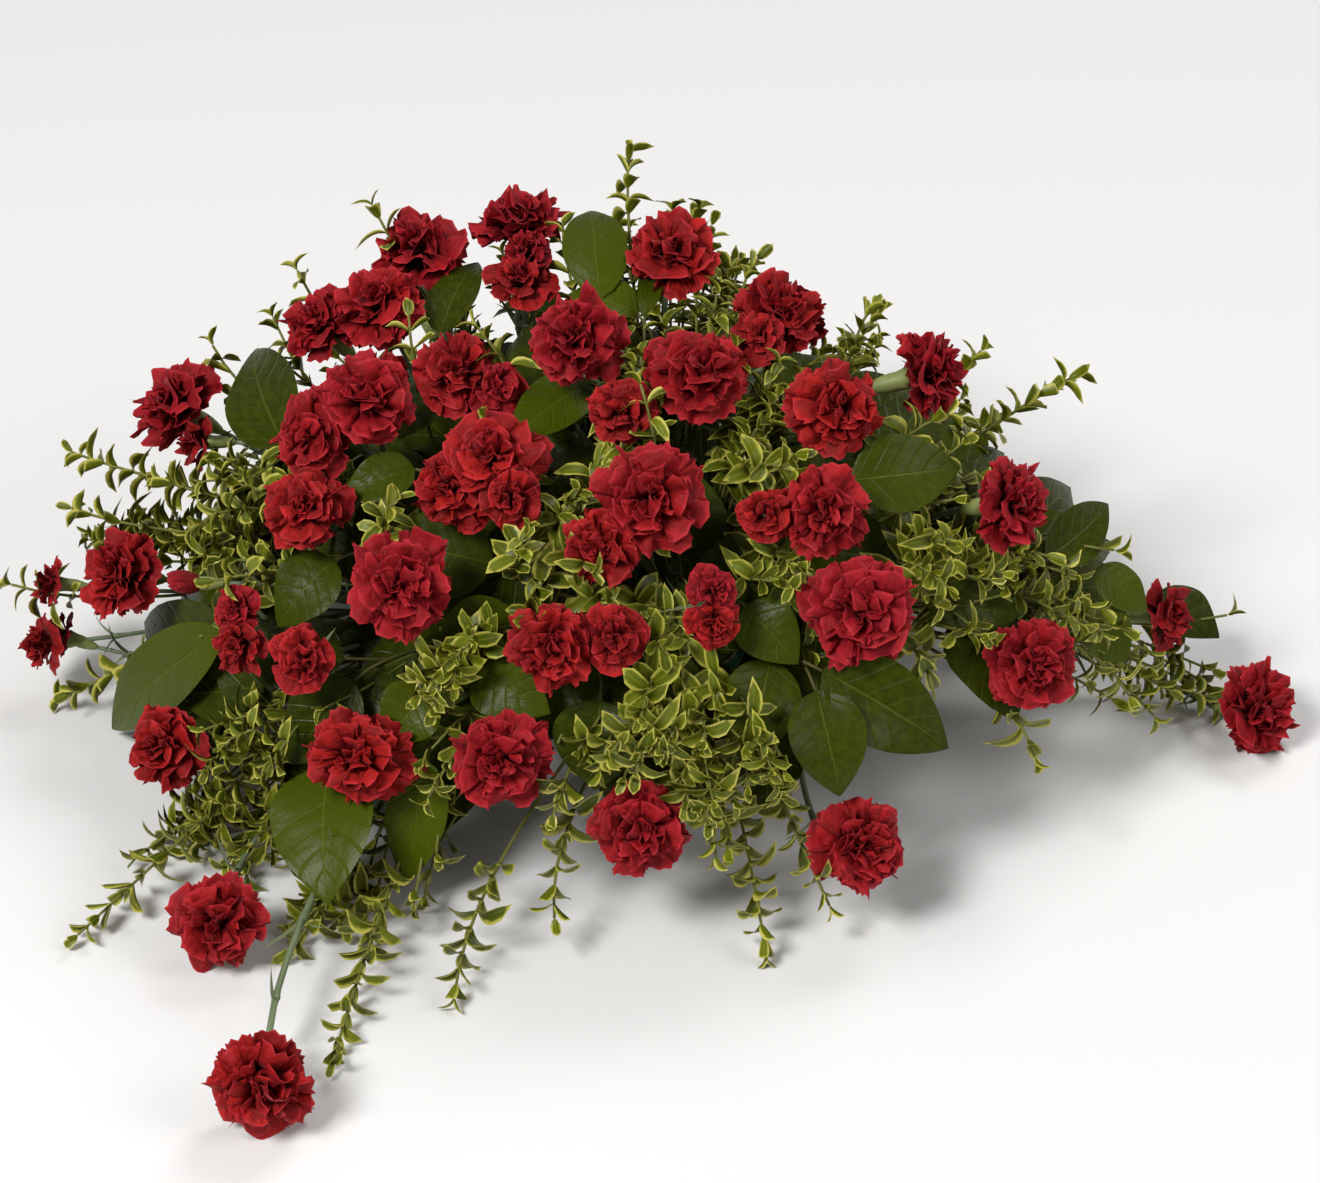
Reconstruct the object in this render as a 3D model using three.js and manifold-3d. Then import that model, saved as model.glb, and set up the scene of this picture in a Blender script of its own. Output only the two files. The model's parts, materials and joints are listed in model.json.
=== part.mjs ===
// A casket spray of red carnations, spray carnations, salal and variegated boxwood. Every stem
// stands in a brick of wet floral foam, which sits in a plastic saddle with a flat foot.
// The low stems trail forward and lie along the surface that the saddle stands on.
// Millimetres. X runs along the spray's length to the right, Y away from the front, Z up.
// The origin is the middle of the saddle's underside, on that surface.

import * as THREE from "three";
import { mergeVertices } from "three/addons/utils/BufferGeometryUtils.js";
import Module from "manifold-3d";

const wasm = await Module();
wasm.setup();

// Holder
const PAD = { length: 300, width: 130, height: 3 };
const TRAY = { length: 316, width: 146, height: 34, floor: 3, wall: 2.5, rim: 6, rimHeight: 3 };
const BRICK = { length: 300, width: 124, height: 74, corner: 10 };
const TAPE = { offset: 52, width: 12, thickness: 0.8 };
const GAP = 0.35;
const BRICK_FOOT = PAD.height + TRAY.floor + GAP;
const BRICK_TOP = BRICK_FOOT + BRICK.height;

// Stems stand in the brick in bunches, one bunch to a hole.
const BUNCH = { radius: 8, sides: 6, depth: 44, rise: 12 };

// The flowers' faces follow a dome on the saddle. Half its length, depth and height.
const DOME = new THREE.Vector3(400, 300, 330);

// The spray is laid out to its front view, seen from 37 degrees above the surface: a place is given
// as mm across and mm up from the middle of that view. VIEW_BACK points from the middle to the eye.
const VIEW_MIDDLE = new THREE.Vector3(14, 0, 80);
const VIEW_DISTANCE = 2600;
const VIEW_RIGHT = new THREE.Vector3(1, 0, 0);
const VIEW_UP = new THREE.Vector3(0, 0.6, 0.8);
const VIEW_BACK = new THREE.Vector3(0, -0.8, 0.6);
const EYE = VIEW_MIDDLE.clone().addScaledVector(VIEW_BACK, VIEW_DISTANCE);

// Flowers
const HEAD = { neck: 0.45, small: 58, gap: 0.4, merge: 2 };
const CALYX = { length: 26, radius: 6.6, shoulder: 3, small: 0.72 };
const STEM = { radius: 2.2, small: 0.75, handle: 0.32, section: 110 };

// Foliage
const SALAL = { stem: 1.6, thickness: 1.8, arch: 0.1, fold: 0.22, handle: 0.22, section: 80 };
const BOXWOOD = { leaf: 24, width: 12, drop: 2.2, spacing: 16, twig: 1.3, handle: 0.25, section: 110 };

const materials = {
  petal: new THREE.MeshStandardMaterial({ color: 0xb01226, roughness: 0.75 }),
  stem: new THREE.MeshStandardMaterial({ color: 0x6f8a4e, roughness: 0.6 }),
  salal: new THREE.MeshStandardMaterial({ color: 0x2f5a1c, roughness: 0.45 }),
  boxwood: new THREE.MeshStandardMaterial({ color: 0x8a9a32, roughness: 0.55 }),
  foam: new THREE.MeshStandardMaterial({ color: 0x2c5a3a, roughness: 0.95 }),
  plastic: new THREE.MeshStandardMaterial({ color: 0x1f3d2b, roughness: 0.5 }),
  tape: new THREE.MeshStandardMaterial({ color: 0x3c6b45, roughness: 0.6 }),
  pad: new THREE.MeshStandardMaterial({ color: 0xd9d9d2, roughness: 0.9 }),
};

// Solids

function toSolid(geometry) {
  const bare = new THREE.BufferGeometry();
  bare.setAttribute("position", geometry.getAttribute("position"));
  if (geometry.index) bare.setIndex(geometry.index);
  const merged = mergeVertices(bare, 1e-3);
  const vertProperties = merged.attributes.position.array;
  const triVerts = new Uint32Array(merged.index.array);
  const made = new wasm.Manifold(new wasm.Mesh({ numProp: 3, vertProperties, triVerts }));
  if (made.volume() > 0) return made;
  for (let i = 0; i < triVerts.length; i += 3) {
    [triVerts[i + 1], triVerts[i + 2]] = [triVerts[i + 2], triVerts[i + 1]];
  }
  return new wasm.Manifold(new wasm.Mesh({ numProp: 3, vertProperties, triVerts }));
}

function fromPoints(points, faces) {
  const geometry = new THREE.BufferGeometry().setFromPoints(points);
  geometry.setIndex(faces.flat());
  return toSolid(geometry);
}

function toGeometry(solid, origin) {
  const mesh = solid.getMesh();
  const position = new Float32Array(mesh.numVert * 3);
  for (let i = 0; i < mesh.numVert; i++) {
    position.set(mesh.vertProperties.subarray(i * mesh.numProp, i * mesh.numProp + 3), i * 3);
  }
  const geometry = new THREE.BufferGeometry();
  geometry.setAttribute("position", new THREE.BufferAttribute(position, 3));
  geometry.setIndex(new THREE.BufferAttribute(mesh.triVerts, 1));
  geometry.translate(-origin.x, -origin.y, -origin.z);
  geometry.computeVertexNormals();
  return geometry;
}

function box(length, width, height, foot) {
  return toSolid(new THREE.BoxGeometry(length, width, height).translate(0, 0, foot + height / 2));
}

function cylinder(x, y, radius, bottom, top) {
  const geometry = new THREE.CylinderGeometry(radius, radius, top - bottom, BUNCH.sides);
  return toSolid(geometry.rotateX(Math.PI / 2).translate(x, y, (top + bottom) / 2));
}

// A limb has a section at every point of its path, and ends in the last point. Each section has a
// half width, a half height and how far its edges are raised. side is the way of the last width.
const LOZENGE = [[1, 0, 1], [0, 1, 0], [-1, 0, 1], [0, -1, 0]];
const THREE_SIDED = [[1, -0.5, 0], [0, 1, 0], [-1, -0.5, 0]];
const FLOOR_GAP = 0.3;

function sections(path, sizes, side, corners) {
  const across = side.clone();
  const rings = [];
  for (let i = path.length - 2; i >= 0; i--) {
    const way = path[i + 1].clone().sub(path[Math.max(0, i - 1)]).normalize();
    across.addScaledVector(way, -across.dot(way)).normalize();
    const rise = across.clone().cross(way);
    const [wide, high, raised = 0] = sizes[i];
    rings[i] = corners.map(([w, h, edge]) => {
      const point = path[i].clone().addScaledVector(across, w * wide);
      return point.addScaledVector(rise, h * high + edge * raised);
    });
  }
  return rings;
}

// leaves are small blades that grow out of a face of the limb, each on one side of one section.
function limb(path, sizes, side, corners = LOZENGE, leaves = []) {
  const n = corners.length;
  const rings = sections(path, sizes, side, corners);
  const points = [...rings.flat(), path.at(-1).clone()];
  const faces = [];
  for (let k = 2; k < n; k++) faces.push([0, k, k - 1]);
  for (let i = 0; i + 1 < rings.length; i++) {
    for (let k = 0; k < n; k++) {
      const [a, b] = [n * i + k, n * i + ((k + 1) % n)];
      const [c, d] = [b + n, a + n];
      const leaf = leaves.find((entry) => entry.section === i && entry.face === k);
      if (leaf) {
        const m = points.length;
        const [left, right, tip] = [m + 1, m + 2, m + 3];
        points.push(leaf.crotch, leaf.left, leaf.right, leaf.tip);
        faces.push([b, c, m], [c, d, m], [d, a, m], [a, b, right], [a, right, left]);
        faces.push([left, right, tip], [b, m, right], [m, a, left], [m, left, tip], [m, tip, right]);
      } else {
        faces.push([a, b, c], [a, c, d]);
      }
    }
  }
  const last = n * (rings.length - 1);
  for (let k = 0; k < n; k++) faces.push([last + k, last + ((k + 1) % n), n * rings.length]);
  for (const point of points) point.z = Math.max(point.z, FLOOR_GAP);
  return fromPoints(points, faces);
}

// A repeatable run of numbers from 0 to 1.
function seeded(seed) {
  let state = seed;
  return () => {
    state = (state * 16807) % 2147483647;
    return state / 2147483647;
  };
}

// Layout

// The sight line from the eye to a place in the front view.
function sightLine(across, up) {
  const place = VIEW_MIDDLE.clone().addScaledVector(VIEW_RIGHT, across).addScaledVector(VIEW_UP, up);
  return place.sub(EYE);
}

// Where the sight line through a place in the front view meets the dome grown by proud, or passes
// nearest to it, and never lower than low.
function seat(across, up, low, proud = 0) {
  const line = sightLine(across, up);
  const size = DOME.clone().addScalar(proud);
  const start = EYE.clone().divide(size);
  const step = line.clone().divide(size);
  const square = step.lengthSq();
  const half = start.dot(step);
  const past = Math.max(0, half * half - square * (start.lengthSq() - 1));
  let reach = (-half - Math.sqrt(past)) / square;
  if (EYE.z + line.z * reach < low) reach = (low - EYE.z) / line.z;
  return EYE.clone().addScaledVector(line, reach);
}

// Where the sight line through a place is as deep in the front view as a point, less near.
function beside(point, across, up, near) {
  const depth = EYE.clone().sub(point).dot(VIEW_BACK) - near;
  return EYE.clone().addScaledVector(sightLine(across, up), depth / VIEW_DISTANCE);
}

// A direction given in the front view: to the right, up the view, and out towards the eye.
function facing(right, up, out) {
  const way = new THREE.Vector3().addScaledVector(VIEW_RIGHT, right);
  return way.addScaledVector(VIEW_UP, up).addScaledVector(VIEW_BACK, out).normalize();
}

// A direction by its bearing, clockwise from straight ahead of the front, and its pitch, in degrees.
function heading(bearing, pitch) {
  const turn = THREE.MathUtils.degToRad(bearing);
  const climb = THREE.MathUtils.degToRad(pitch);
  const flat = Math.cos(climb);
  return new THREE.Vector3(-Math.sin(turn) * flat, -Math.cos(turn) * flat, Math.sin(climb));
}

function onDome(way) {
  return way.clone().divideScalar(way.clone().divide(DOME).length());
}

// The way out of the dome at a point.
function outward(point) {
  return point.clone().divide(DOME).divide(DOME).normalize();
}

// What has been placed so far. A firm piece is never cut, nor is a leaf's core, its stem. Another
// piece may be, to let a stem through.

const placed = [];

function place(node, solid, firm) {
  const { min, max } = solid.boundingBox();
  placed.push({ node, solid, firm, min, max });
}

function meeting(solid, node) {
  const { min, max } = solid.boundingBox();
  const apart = (p) => [0, 1, 2].some((k) => min[k] > p.max[k] || max[k] < p.min[k]);
  return placed.filter(
    (p) => p.node !== node && !apart(p) && solid.intersect(p.solid).volume() > 1e-3,
  );
}

function largest(solid) {
  return solid.decompose().reduce((a, b) => (b.volume() > a.volume() ? b : a));
}

// Cuts the hole that a stem needs through whatever petals or leaves it passes.
function pierce(fat, node) {
  for (const piece of meeting(fat, node)) {
    if (piece.firm) continue;
    piece.solid = largest(piece.solid.subtract(fat));
  }
}

// Holder: a soft non-slip pad, the tray, the brick and two bands of anchor tape.

function makeHolder() {
  const inner = { length: TRAY.length - 2 * TRAY.wall, width: TRAY.width - 2 * TRAY.wall };
  const rimFoot = PAD.height + TRAY.height - TRAY.rimHeight;
  const tray = box(TRAY.length, TRAY.width, TRAY.height, PAD.height)
    .add(box(TRAY.length + TRAY.rim, TRAY.width + TRAY.rim, TRAY.rimHeight, rimFoot))
    .subtract(box(inner.length, inner.width, TRAY.height, PAD.height + TRAY.floor));
  const half = BRICK.width / 2;
  const outline = new THREE.Shape([
    new THREE.Vector2(-half, 0),
    new THREE.Vector2(half, 0),
    new THREE.Vector2(half, BRICK.height - BRICK.corner),
    new THREE.Vector2(half - BRICK.corner, BRICK.height),
    new THREE.Vector2(-half + BRICK.corner, BRICK.height),
    new THREE.Vector2(-half, BRICK.height - BRICK.corner),
  ]);
  place("nonslip_pad", box(PAD.length, PAD.width, PAD.height, 0), true);
  place("saddle_tray", tray, true);
  place("foam_brick", alongX(outline, BRICK.length, 0, BRICK_FOOT), true);
  place("anchor_tape_left", makeTape(-TAPE.offset, half), true);
  place("anchor_tape_right", makeTape(TAPE.offset, half), true);
}

// An outline in Y and Z, drawn out along X.
function alongX(outline, length, x, z) {
  const bar = new THREE.ExtrudeGeometry(outline, { depth: length, bevelEnabled: false });
  return toSolid(bar.rotateX(Math.PI / 2).rotateZ(Math.PI / 2).translate(x - length / 2, 0, z));
}

// One band of tape over the brick, from tray wall to tray wall.
function makeTape(x, halfWidth) {
  const out = TAPE.thickness;
  const edge = halfWidth + GAP;
  const top = BRICK_TOP + GAP;
  const shoulder = top - BRICK.corner;
  const foot = PAD.height + TRAY.height + GAP;
  const inside = [[edge, foot], [edge, shoulder], [edge - BRICK.corner, top]];
  const outside = [
    [edge - BRICK.corner + out / 2, top + out],
    [edge + out, shoulder + out / 2],
    [edge + out, foot],
  ];
  const half = [...inside.map(([y, z]) => [-y, z]), ...inside.toReversed()];
  const back = outside.toReversed();
  half.push(...back, ...outside.map(([y, z]) => [-y, z]));
  const outline = new THREE.Shape(half.map(([y, z]) => new THREE.Vector2(y, z)));
  return alongX(outline, TAPE.width, x, 0);
}

// Flower heads: across, up, width, then the way each faces (right, up, out), and how far proud of
// the dome it stands. Heads of one row are pressed together in one body, and those after its first
// have instead how much nearer the eye they are than the first. Widths are as seen in the front view.
// A width under HEAD.small is a spray carnation.
const FLOWERS = {
  crown_left: [[-173, 245, 76, -0.2, 0.75, 0.6, 0]],
  crown_middle: [
    [-100, 263, 74, 0, 0.9, 0.35, 0],
    [-96, 244, 46, 0, 0.6, 0.8, 22],
    [-101, 224, 50, 0.1, 0.5, 0.85, 36],
  ],
  crown_right: [[9, 242, 74, 0.1, 0.55, 0.83, 0]],
  upper_right: [
    [85, 198, 74, 0.5, 0.6, 0.6, 0],
    [72, 184, 46, -0.2, 0.4, 0.9, 23],
  ],
  reach_right: [[191, 157, 76, 0.95, 0.25, 0.2, 0]],
  upper_middle: [[30, 157, 78, 0.2, 0.3, 0.93, 0]],
  heart_top: [[-60, 181, 82, 0, 0.15, 1, 5]],
  upper_left: [
    [-204, 204, 74, -0.3, 0.5, 0.8, 0],
    [-244, 192, 66, -0.5, 0.5, 0.7, -13],
  ],
  left_heart: [
    [-210, 138, 82, 0.05, 0.1, 1, 8],
    [-249, 112, 70, -0.4, 0, 0.9, -10],
  ],
  middle_pair: [
    [-146, 157, 64, 0, 0.1, 1, -12],
    [-118, 147, 46, 0.2, 0.1, 1, 6],
  ],
  reach_left: [
    [-348, 133, 70, -0.7, 0.4, 0.6, 0],
    [-333, 108, 44, -0.9, 0, 0.4, 9],
  ],
  left_inner: [[-255, 60, 70, -0.1, 0.1, 1, 0]],
  middle_inner: [[-27, 129, 54, 0, 0.1, 1, -14]],
  right_upper: [[127, 130, 76, 0.35, 0.1, 0.93, 0]],
  right_heart: [
    [118, 57, 74, 0.2, 0, 1, 4],
    [76, 56, 48, 0, 0, 1, 3],
  ],
  heart: [
    [-6, 66, 88, 0, 0, 1, 10],
    [-42, 32, 68, -0.3, -0.2, 0.9, -8],
  ],
  trio: [
    [-122, 95, 78, 0.1, 0.4, 0.9, 0],
    [-106, 68, 56, 0.1, -0.1, 1, 15],
    [-148, 74, 66, -0.3, 0, 1, -11],
  ],
  left_low_heart: [[-188, 5, 82, -0.1, 0, 1, 6]],
  right_reach_inner: [[253, 64, 70, 0.8, 0.1, 0.6, 0]],
  right_low_heart: [[145, -15, 86, 0, 0, 1, 4]],
  right_low: [[270, -52, 80, 0.1, -0.1, 1, 0]],
  right_tip: [[364, -18, 56, 0.85, 0, 0.5, 0]],
  right_end: [[430, -84, 76, 0.6, 0, 0.8, 0]],
  trail_right: [[145, -185, 80, 0.4, -0.1, 0.9, 0]],
  trail_middle: [[-14, -170, 76, 0, -0.4, 0.9, 0]],
  low_middle: [[-113, -121, 80, 0.1, -0.2, 1, 0]],
  low_left: [[-218, -119, 78, -0.1, -0.2, 1, 0]],
  low_far_left: [[-356, -112, 68, -0.5, 0, 0.85, 0]],
  trail_left: [[-317, -240, 80, 0, -0.3, 0.95, 0]],
  trail_end: [[-286, -354, 86, 0, -0.6, 0.8, 0]],
  left_side: [[-387, 13, 70, -0.6, 0.1, 0.8, 0]],
  left_tip: [[-438, 6, 38, -0.95, 0.1, 0.3, 0]],
  left_tip_low: [
    [-443, -38, 46, -0.9, -0.1, 0.4, 0],
    [-431, -31, 38, -0.8, 0.3, 0.2, -10],
  ],
  left_bud: [[-338, 6, 20, -1, 0, 0.1, 0]],
  left_mini: [
    [-306, -13, 36, -0.3, 0.2, 0.9, 0],
    [-302, -37, 52, -0.5, -0.3, 0.8, 0],
  ],
  left_mini_front: [[-256, -48, 50, 0, 0, 1, 4]],
  low_pair: [
    [-78, -39, 76, -0.1, -0.2, 1, 0],
    [-34, -33, 54, 0.1, 0, 1, 0],
  ],
  mini_pair: [
    [38, 1, 42, 0.1, 0.2, 1, 4],
    [39, -23, 44, 0.1, -0.1, 1, 0],
  ],
};

// Heads on the far side, which the front view hides: bearing, pitch and width.
const FAR_FLOWERS = {
  back_left_low: [[209, 9, 72]],
  back_left_high: [[202, 29, 74]],
  back_middle: [[170, 22, 76]],
  back_right_high: [[138, 42, 72]],
  back_right_low: [[142, 14, 76]],
};

// Layers of petals, from the neck up: how many, their reach and rise, then the reach and rise of
// the crease above them, all in head radii.
const LAYERS = [
  { petals: 5, reach: 1, rise: 0.26, crease: 0.5, creaseRise: 0.36 },
  { petals: 4, reach: 0.82, rise: 0.58, crease: 0.3, creaseRise: 0.56 },
  { petals: 3, reach: 0.5, rise: 0.88, crease: 0, creaseRise: 0.62 },
];
const SMALL_LAYERS = [
  { petals: 4, reach: 1, rise: 0.34, crease: 0.42, creaseRise: 0.44 },
  { petals: 3, reach: 0.66, rise: 0.84, crease: 0, creaseRise: 0.58 },
];
// Each petal's edge: turn in shares of its width, reach and lift, the last being its notch.
const PETAL_EDGE = [[-0.32, 1, 0.06], [0.24, 1.03, -0.06], [0.5, 0.78, 0]];

let headCount = 0;

function newHead(name, middle, face, width) {
  headCount += 1;
  const radius = (width / 2) * (middle.distanceTo(EYE) / VIEW_DISTANCE);
  const neck = middle.clone().addScaledVector(face, -HEAD.neck * radius);
  const small = width < HEAD.small;
  return { node: `bloom_${name}`, middle, neck, face, radius, small, seed: 1000 + 37 * headCount };
}

function listHeads() {
  const heads = [];
  for (const [name, rows] of Object.entries(FLOWERS)) {
    let first = null;
    for (const [across, up, width, right, lift, out, proud] of rows) {
      const face = facing(right, lift, out);
      const lean = Math.sqrt(1 - face.z * face.z);
      const far = HEAD.neck * (width / 2) + CALYX.length;
      const low = Math.max((width / 2) * lean * 0.88, far * face.z + CALYX.radius + 1);
      const middle = first ? beside(first, across, up, proud) : seat(across, up, low, proud);
      first ??= middle;
      heads.push(newHead(name, middle, face, width));
    }
  }
  for (const [name, rows] of Object.entries(FAR_FLOWERS)) {
    for (const [bearing, pitch, width] of rows) {
      const middle = onDome(heading(bearing, pitch));
      middle.z = Math.max(middle.z, width * 0.45);
      heads.push(newHead(name, middle, outward(middle), width));
    }
  }
  return heads;
}

// A head's petals press flat against a neighbour's head, and against the surface it lies on.
function makeHead(head, heads) {
  const { middle, radius, neck, face } = head;
  const side = new THREE.Vector3(0, 0, 1).cross(face);
  if (side.lengthSq() < 0.01) side.set(1, 0, 0);
  side.normalize();
  const rise = face.clone().cross(side);
  const limits = heads
    .filter((other) => other !== head)
    .map((other) => {
      const way = other.middle.clone().sub(middle);
      const share = (way.length() * radius) / (radius + other.radius);
      const shy = other.node === head.node ? -HEAD.merge : HEAD.gap;
      return { way: way.normalize(), most: share - shy };
    })
    .filter((limit) => limit.most < radius * 1.3);
  const at = (reach, turn, lift) => {
    const point = neck.clone().addScaledVector(face, lift * radius);
    point.addScaledVector(side, reach * radius * Math.cos(turn));
    point.addScaledVector(rise, reach * radius * Math.sin(turn));
    for (const { way, most } of limits) {
      const over = point.clone().sub(middle).dot(way) - most;
      if (over > 0) point.addScaledVector(way, -over);
    }
    point.z = Math.max(point.z, FLOOR_GAP);
    return point;
  };
  const random = seeded(head.seed);
  const rings = [[{ turn: 0, point: at(0, 0, 0) }]];
  for (const layer of head.small ? SMALL_LAYERS : LAYERS) {
    const step = (2 * Math.PI) / layer.petals;
    const start = random() * step;
    const rim = [];
    const crease = [];
    for (let i = 0; i < layer.petals; i++) {
      const lift = layer.rise + 0.14 * (random() - 0.5);
      for (const [share, reach, wave] of PETAL_EDGE) {
        const turn = start + step * (i + share + 0.1 * (random() - 0.5));
        const out = layer.reach * reach * (0.93 + 0.1 * random());
        rim.push({ turn, point: at(out, turn, lift + wave) });
      }
      const turn = start + step * (i + 0.5);
      if (layer.crease > 0) {
        crease.push({ turn, point: at(layer.crease, turn, layer.creaseRise) });
      }
    }
    rings.push(rim, layer.crease > 0 ? crease : [{ turn: 0, point: at(0, 0, layer.creaseRise) }]);
  }
  return joinRings(rings);
}

// Joins rings of points round one axis, the first and last being single points.
function joinRings(rings) {
  const full = 2 * Math.PI;
  const points = [];
  const faces = [];
  for (const ring of rings) {
    for (const entry of ring) entry.turn = ((entry.turn % full) + full) % full;
    ring.sort((a, b) => a.turn - b.turn);
    for (const entry of ring) {
      entry.index = points.length;
      points.push(entry.point);
    }
  }
  const get = (ring, k) => ring[k % ring.length];
  const turnOf = (ring, k) => get(ring, k).turn + full * Math.floor(k / ring.length);
  for (let r = 0; r + 1 < rings.length; r++) {
    const [lower, upper] = [rings[r], rings[r + 1]];
    const lowEnd = lower.length > 1 ? lower.length : 0;
    const highEnd = upper.length > 1 ? upper.length : 0;
    let i = 0;
    let j = 0;
    while (i < lowEnd || j < highEnd) {
      const low = j === highEnd || (i < lowEnd && turnOf(lower, i + 1) < turnOf(upper, j + 1));
      const [a, b] = [get(lower, i).index, get(upper, j).index];
      faces.push(low ? [a, get(lower, i + 1).index, b] : [a, get(upper, j + 1).index, b]);
      if (low) i++;
      else j++;
    }
  }
  return fromPoints(points, faces);
}

// Stems

const SOCKETS = {
  carnation_stems_left: [-104, -8],
  carnation_stems_right: [104, -8],
  carnation_stems_front: [0, -40],
  carnation_stems_crown: [0, 22],
  salal_left: [-76, -38],
  salal_right: [76, -38],
  salal_back: [-30, 42],
  boxwood_left: [-80, 32],
  boxwood_right: [80, 32],
  boxwood_front: [32, -34],
  boxwood_crown: [30, 4],
};

function openSocket(node) {
  const [x, y] = SOCKETS[node];
  const foot = BRICK_TOP - BUNCH.depth;
  place(node, cylinder(x, y, BUNCH.radius, foot, BRICK_TOP + BUNCH.rise), true);
  const brick = placed.find((p) => p.node === "foam_brick");
  const hole = cylinder(x, y, BUNCH.radius + GAP, foot - GAP, BRICK_TOP + BUNCH.rise);
  brick.solid = brick.solid.subtract(hole);
}

// A stem's way from its bunch to its end, bowed aside and lifted to pass what is in its way.
function route(node, end, arriving, handle, bow, lift) {
  const [x, y] = SOCKETS[node];
  const start = new THREE.Vector3(x, y, BRICK_TOP + BUNCH.rise / 2);
  const flat = new THREE.Vector3(end.x - x, end.y - y, 0).normalize();
  start.addScaledVector(flat, BUNCH.radius / 2);
  const way = end.clone().sub(start);
  const length = way.length();
  const aside = new THREE.Vector3(-flat.y, flat.x, 0);
  const first = start.clone().addScaledVector(way, 0.12).addScaledVector(flat, length * 0.2);
  first.addScaledVector(aside, bow);
  first.z = Math.max(first.z, start.z + 6) + lift;
  const last = end.clone().addScaledVector(arriving, -length * handle);
  last.addScaledVector(aside, bow);
  last.z = Math.max(last.z + lift / 2, 6);
  return new THREE.CubicBezierCurve3(start, first, last, end);
}

const BOWS = [0, 18, -18, 36, -36, 56, -56, 80, -80];
const LIFTS = [0, 22, 44, 70, -30];

// The first route whose limb meets nothing, or else the one that meets the fewest loose pieces.
// build makes the limb on a route, grown by a gap.
function clearRoute(node, end, arriving, handle, build) {
  let best = null;
  for (const lift of LIFTS) {
    for (const bow of BOWS) {
      const curve = route(node, end, arriving, handle, bow, lift);
      const fat = build(curve, GAP);
      const met = meeting(fat, node);
      const blocked = met.some((p) => p.firm || p.core?.intersect(fat).volume() > 0);
      const cost = blocked ? Infinity : met.length;
      if (!best || cost < best.cost) best = { curve, fat, cost };
      if (cost === 0) return best;
    }
  }
  return best;
}

function grow(node, end, arriving, handle, build, loose) {
  const best = clearRoute(node, end, arriving, handle, build);
  if (best.cost === Infinity) return null;
  pierce(best.fat, node);
  place(node, build(best.curve, 0), !loose);
  return best.curve;
}

function curvePoints(curve, section) {
  return curve.getSpacedPoints(Math.max(2, Math.round(curve.getLength() / section)));
}

function stemNode(head) {
  const { x, y, z } = head.middle;
  if (y > 60) return "carnation_stems_crown";
  if (x < -150) return "carnation_stems_left";
  if (x > 120) return "carnation_stems_right";
  return z > 190 ? "carnation_stems_crown" : "carnation_stems_front";
}

function makeCarnationStem(head) {
  const size = head.small ? CALYX.small : 1;
  const along = (back) => head.neck.clone().addScaledVector(head.face, -back * size);
  const end = along(CALYX.length);
  const radius = STEM.radius * (head.small ? STEM.small : 1);
  const calyx = [along(CALYX.shoulder), along(GAP / size)];
  const build = (curve, gap) => {
    const points = curvePoints(curve, STEM.section);
    const stem = points.map(() => [radius + gap, radius + gap]);
    const wide = CALYX.radius * size + gap;
    const sizes = [...stem, [wide, wide]];
    return limb([...points, ...calyx], sizes, VIEW_RIGHT);
  };
  const others = Object.keys(SOCKETS).filter((name) => name.startsWith("carnation_stems"));
  for (const node of [stemNode(head), ...others]) {
    if (grow(node, end, head.face, STEM.handle, build)) return;
  }
}

// Salal: across and up of the leaf's base, then of its tip, its width, how far it lies under the
// dome, and how far it is held up off the surface.
const SALAL_LEAVES = [
  [-270, 105, -297, 170, 58, 10, 0],
  [-158, 185, -131, 237, 36, 20, 0],
  [-43, 210, -50, 274, 46, 10, 0],
  [-16, 200, -66, 214, 38, 20, 0],
  [-11, 196, 0, 237, 18, 16, 0],
  [-176, 88, -230, 70, 34, 20, 0],
  [-52, 150, -112, 108, 42, 30, 0],
  [137, 80, 217, 84, 54, 10, 0],
  [277, 23, 325, 59, 38, 0, 0],
  [313, 15, 350, -15, 32, 0, 0],
  [353, -6, 402, -35, 46, 10, 0],
  [191, -6, 259, -20, 36, 20, 0],
  [117, -57, 210, -109, 58, 0, 0],
  [112, -71, 128, -148, 52, 0, 0],
  [61, -10, 99, -53, 42, 20, 0],
  [79, -49, 61, -125, 52, 20, 0],
  [-315, -29, -395, -98, 52, 10, 0],
  [-238, -125, -243, -226, 74, 10, 40],
  [-169, -121, -178, -211, 42, 20, 0],
  [-133, -53, -80, -90, 46, 20, 0],
  [-220, -64, -266, -125, 52, 30, 0],
  [-234, 23, -277, -24, 46, 20, 0],
  [-43, -78, -50, -143, 58, 20, 0],
  [306, -13, 338, -49, 42, 10, 0],
  [-166, -71, -198, -107, 44, 20, 0],
  [-158, 145, -187, 109, 42, 30, 0],
  [20, 120, 45, 190, 60, 55, 0],
  [70, 110, 130, 165, 60, 55, 0],
  [-60, 120, -95, 195, 60, 55, 0],
  [-110, 110, -170, 170, 60, 55, 0],
  [-120, 20, -200, 35, 62, 55, 0],
  [-100, -20, -165, -60, 62, 50, 0],
  [-50, -30, -90, -100, 60, 50, 0],
  [0, -40, -5, -120, 62, 45, 0],
  [90, -20, 160, -70, 62, 50, 0],
  [90, 30, 180, 20, 62, 55, 0],
  [60, 60, 130, 90, 60, 60, 0],
  [-30, 60, -100, 40, 60, 60, 0],
];
const FAR_SALAL = [
  [200, 6, 100, 62],
  [168, 4, 104, 64],
  [250, 4, 96, 58],
  [128, 8, 98, 60],
  [205, 34, 92, 56],
  [160, 40, 90, 54],
  [124, 20, 88, 52],
];
// A blade's sections from its base: place along it, half width and half height in shares.
const SALAL_BLADE = [[0.02, 0.05, 1], [0.2, 0.42, 1], [0.46, 0.5, 0.9], [0.78, 0.28, 0.7]];

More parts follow.
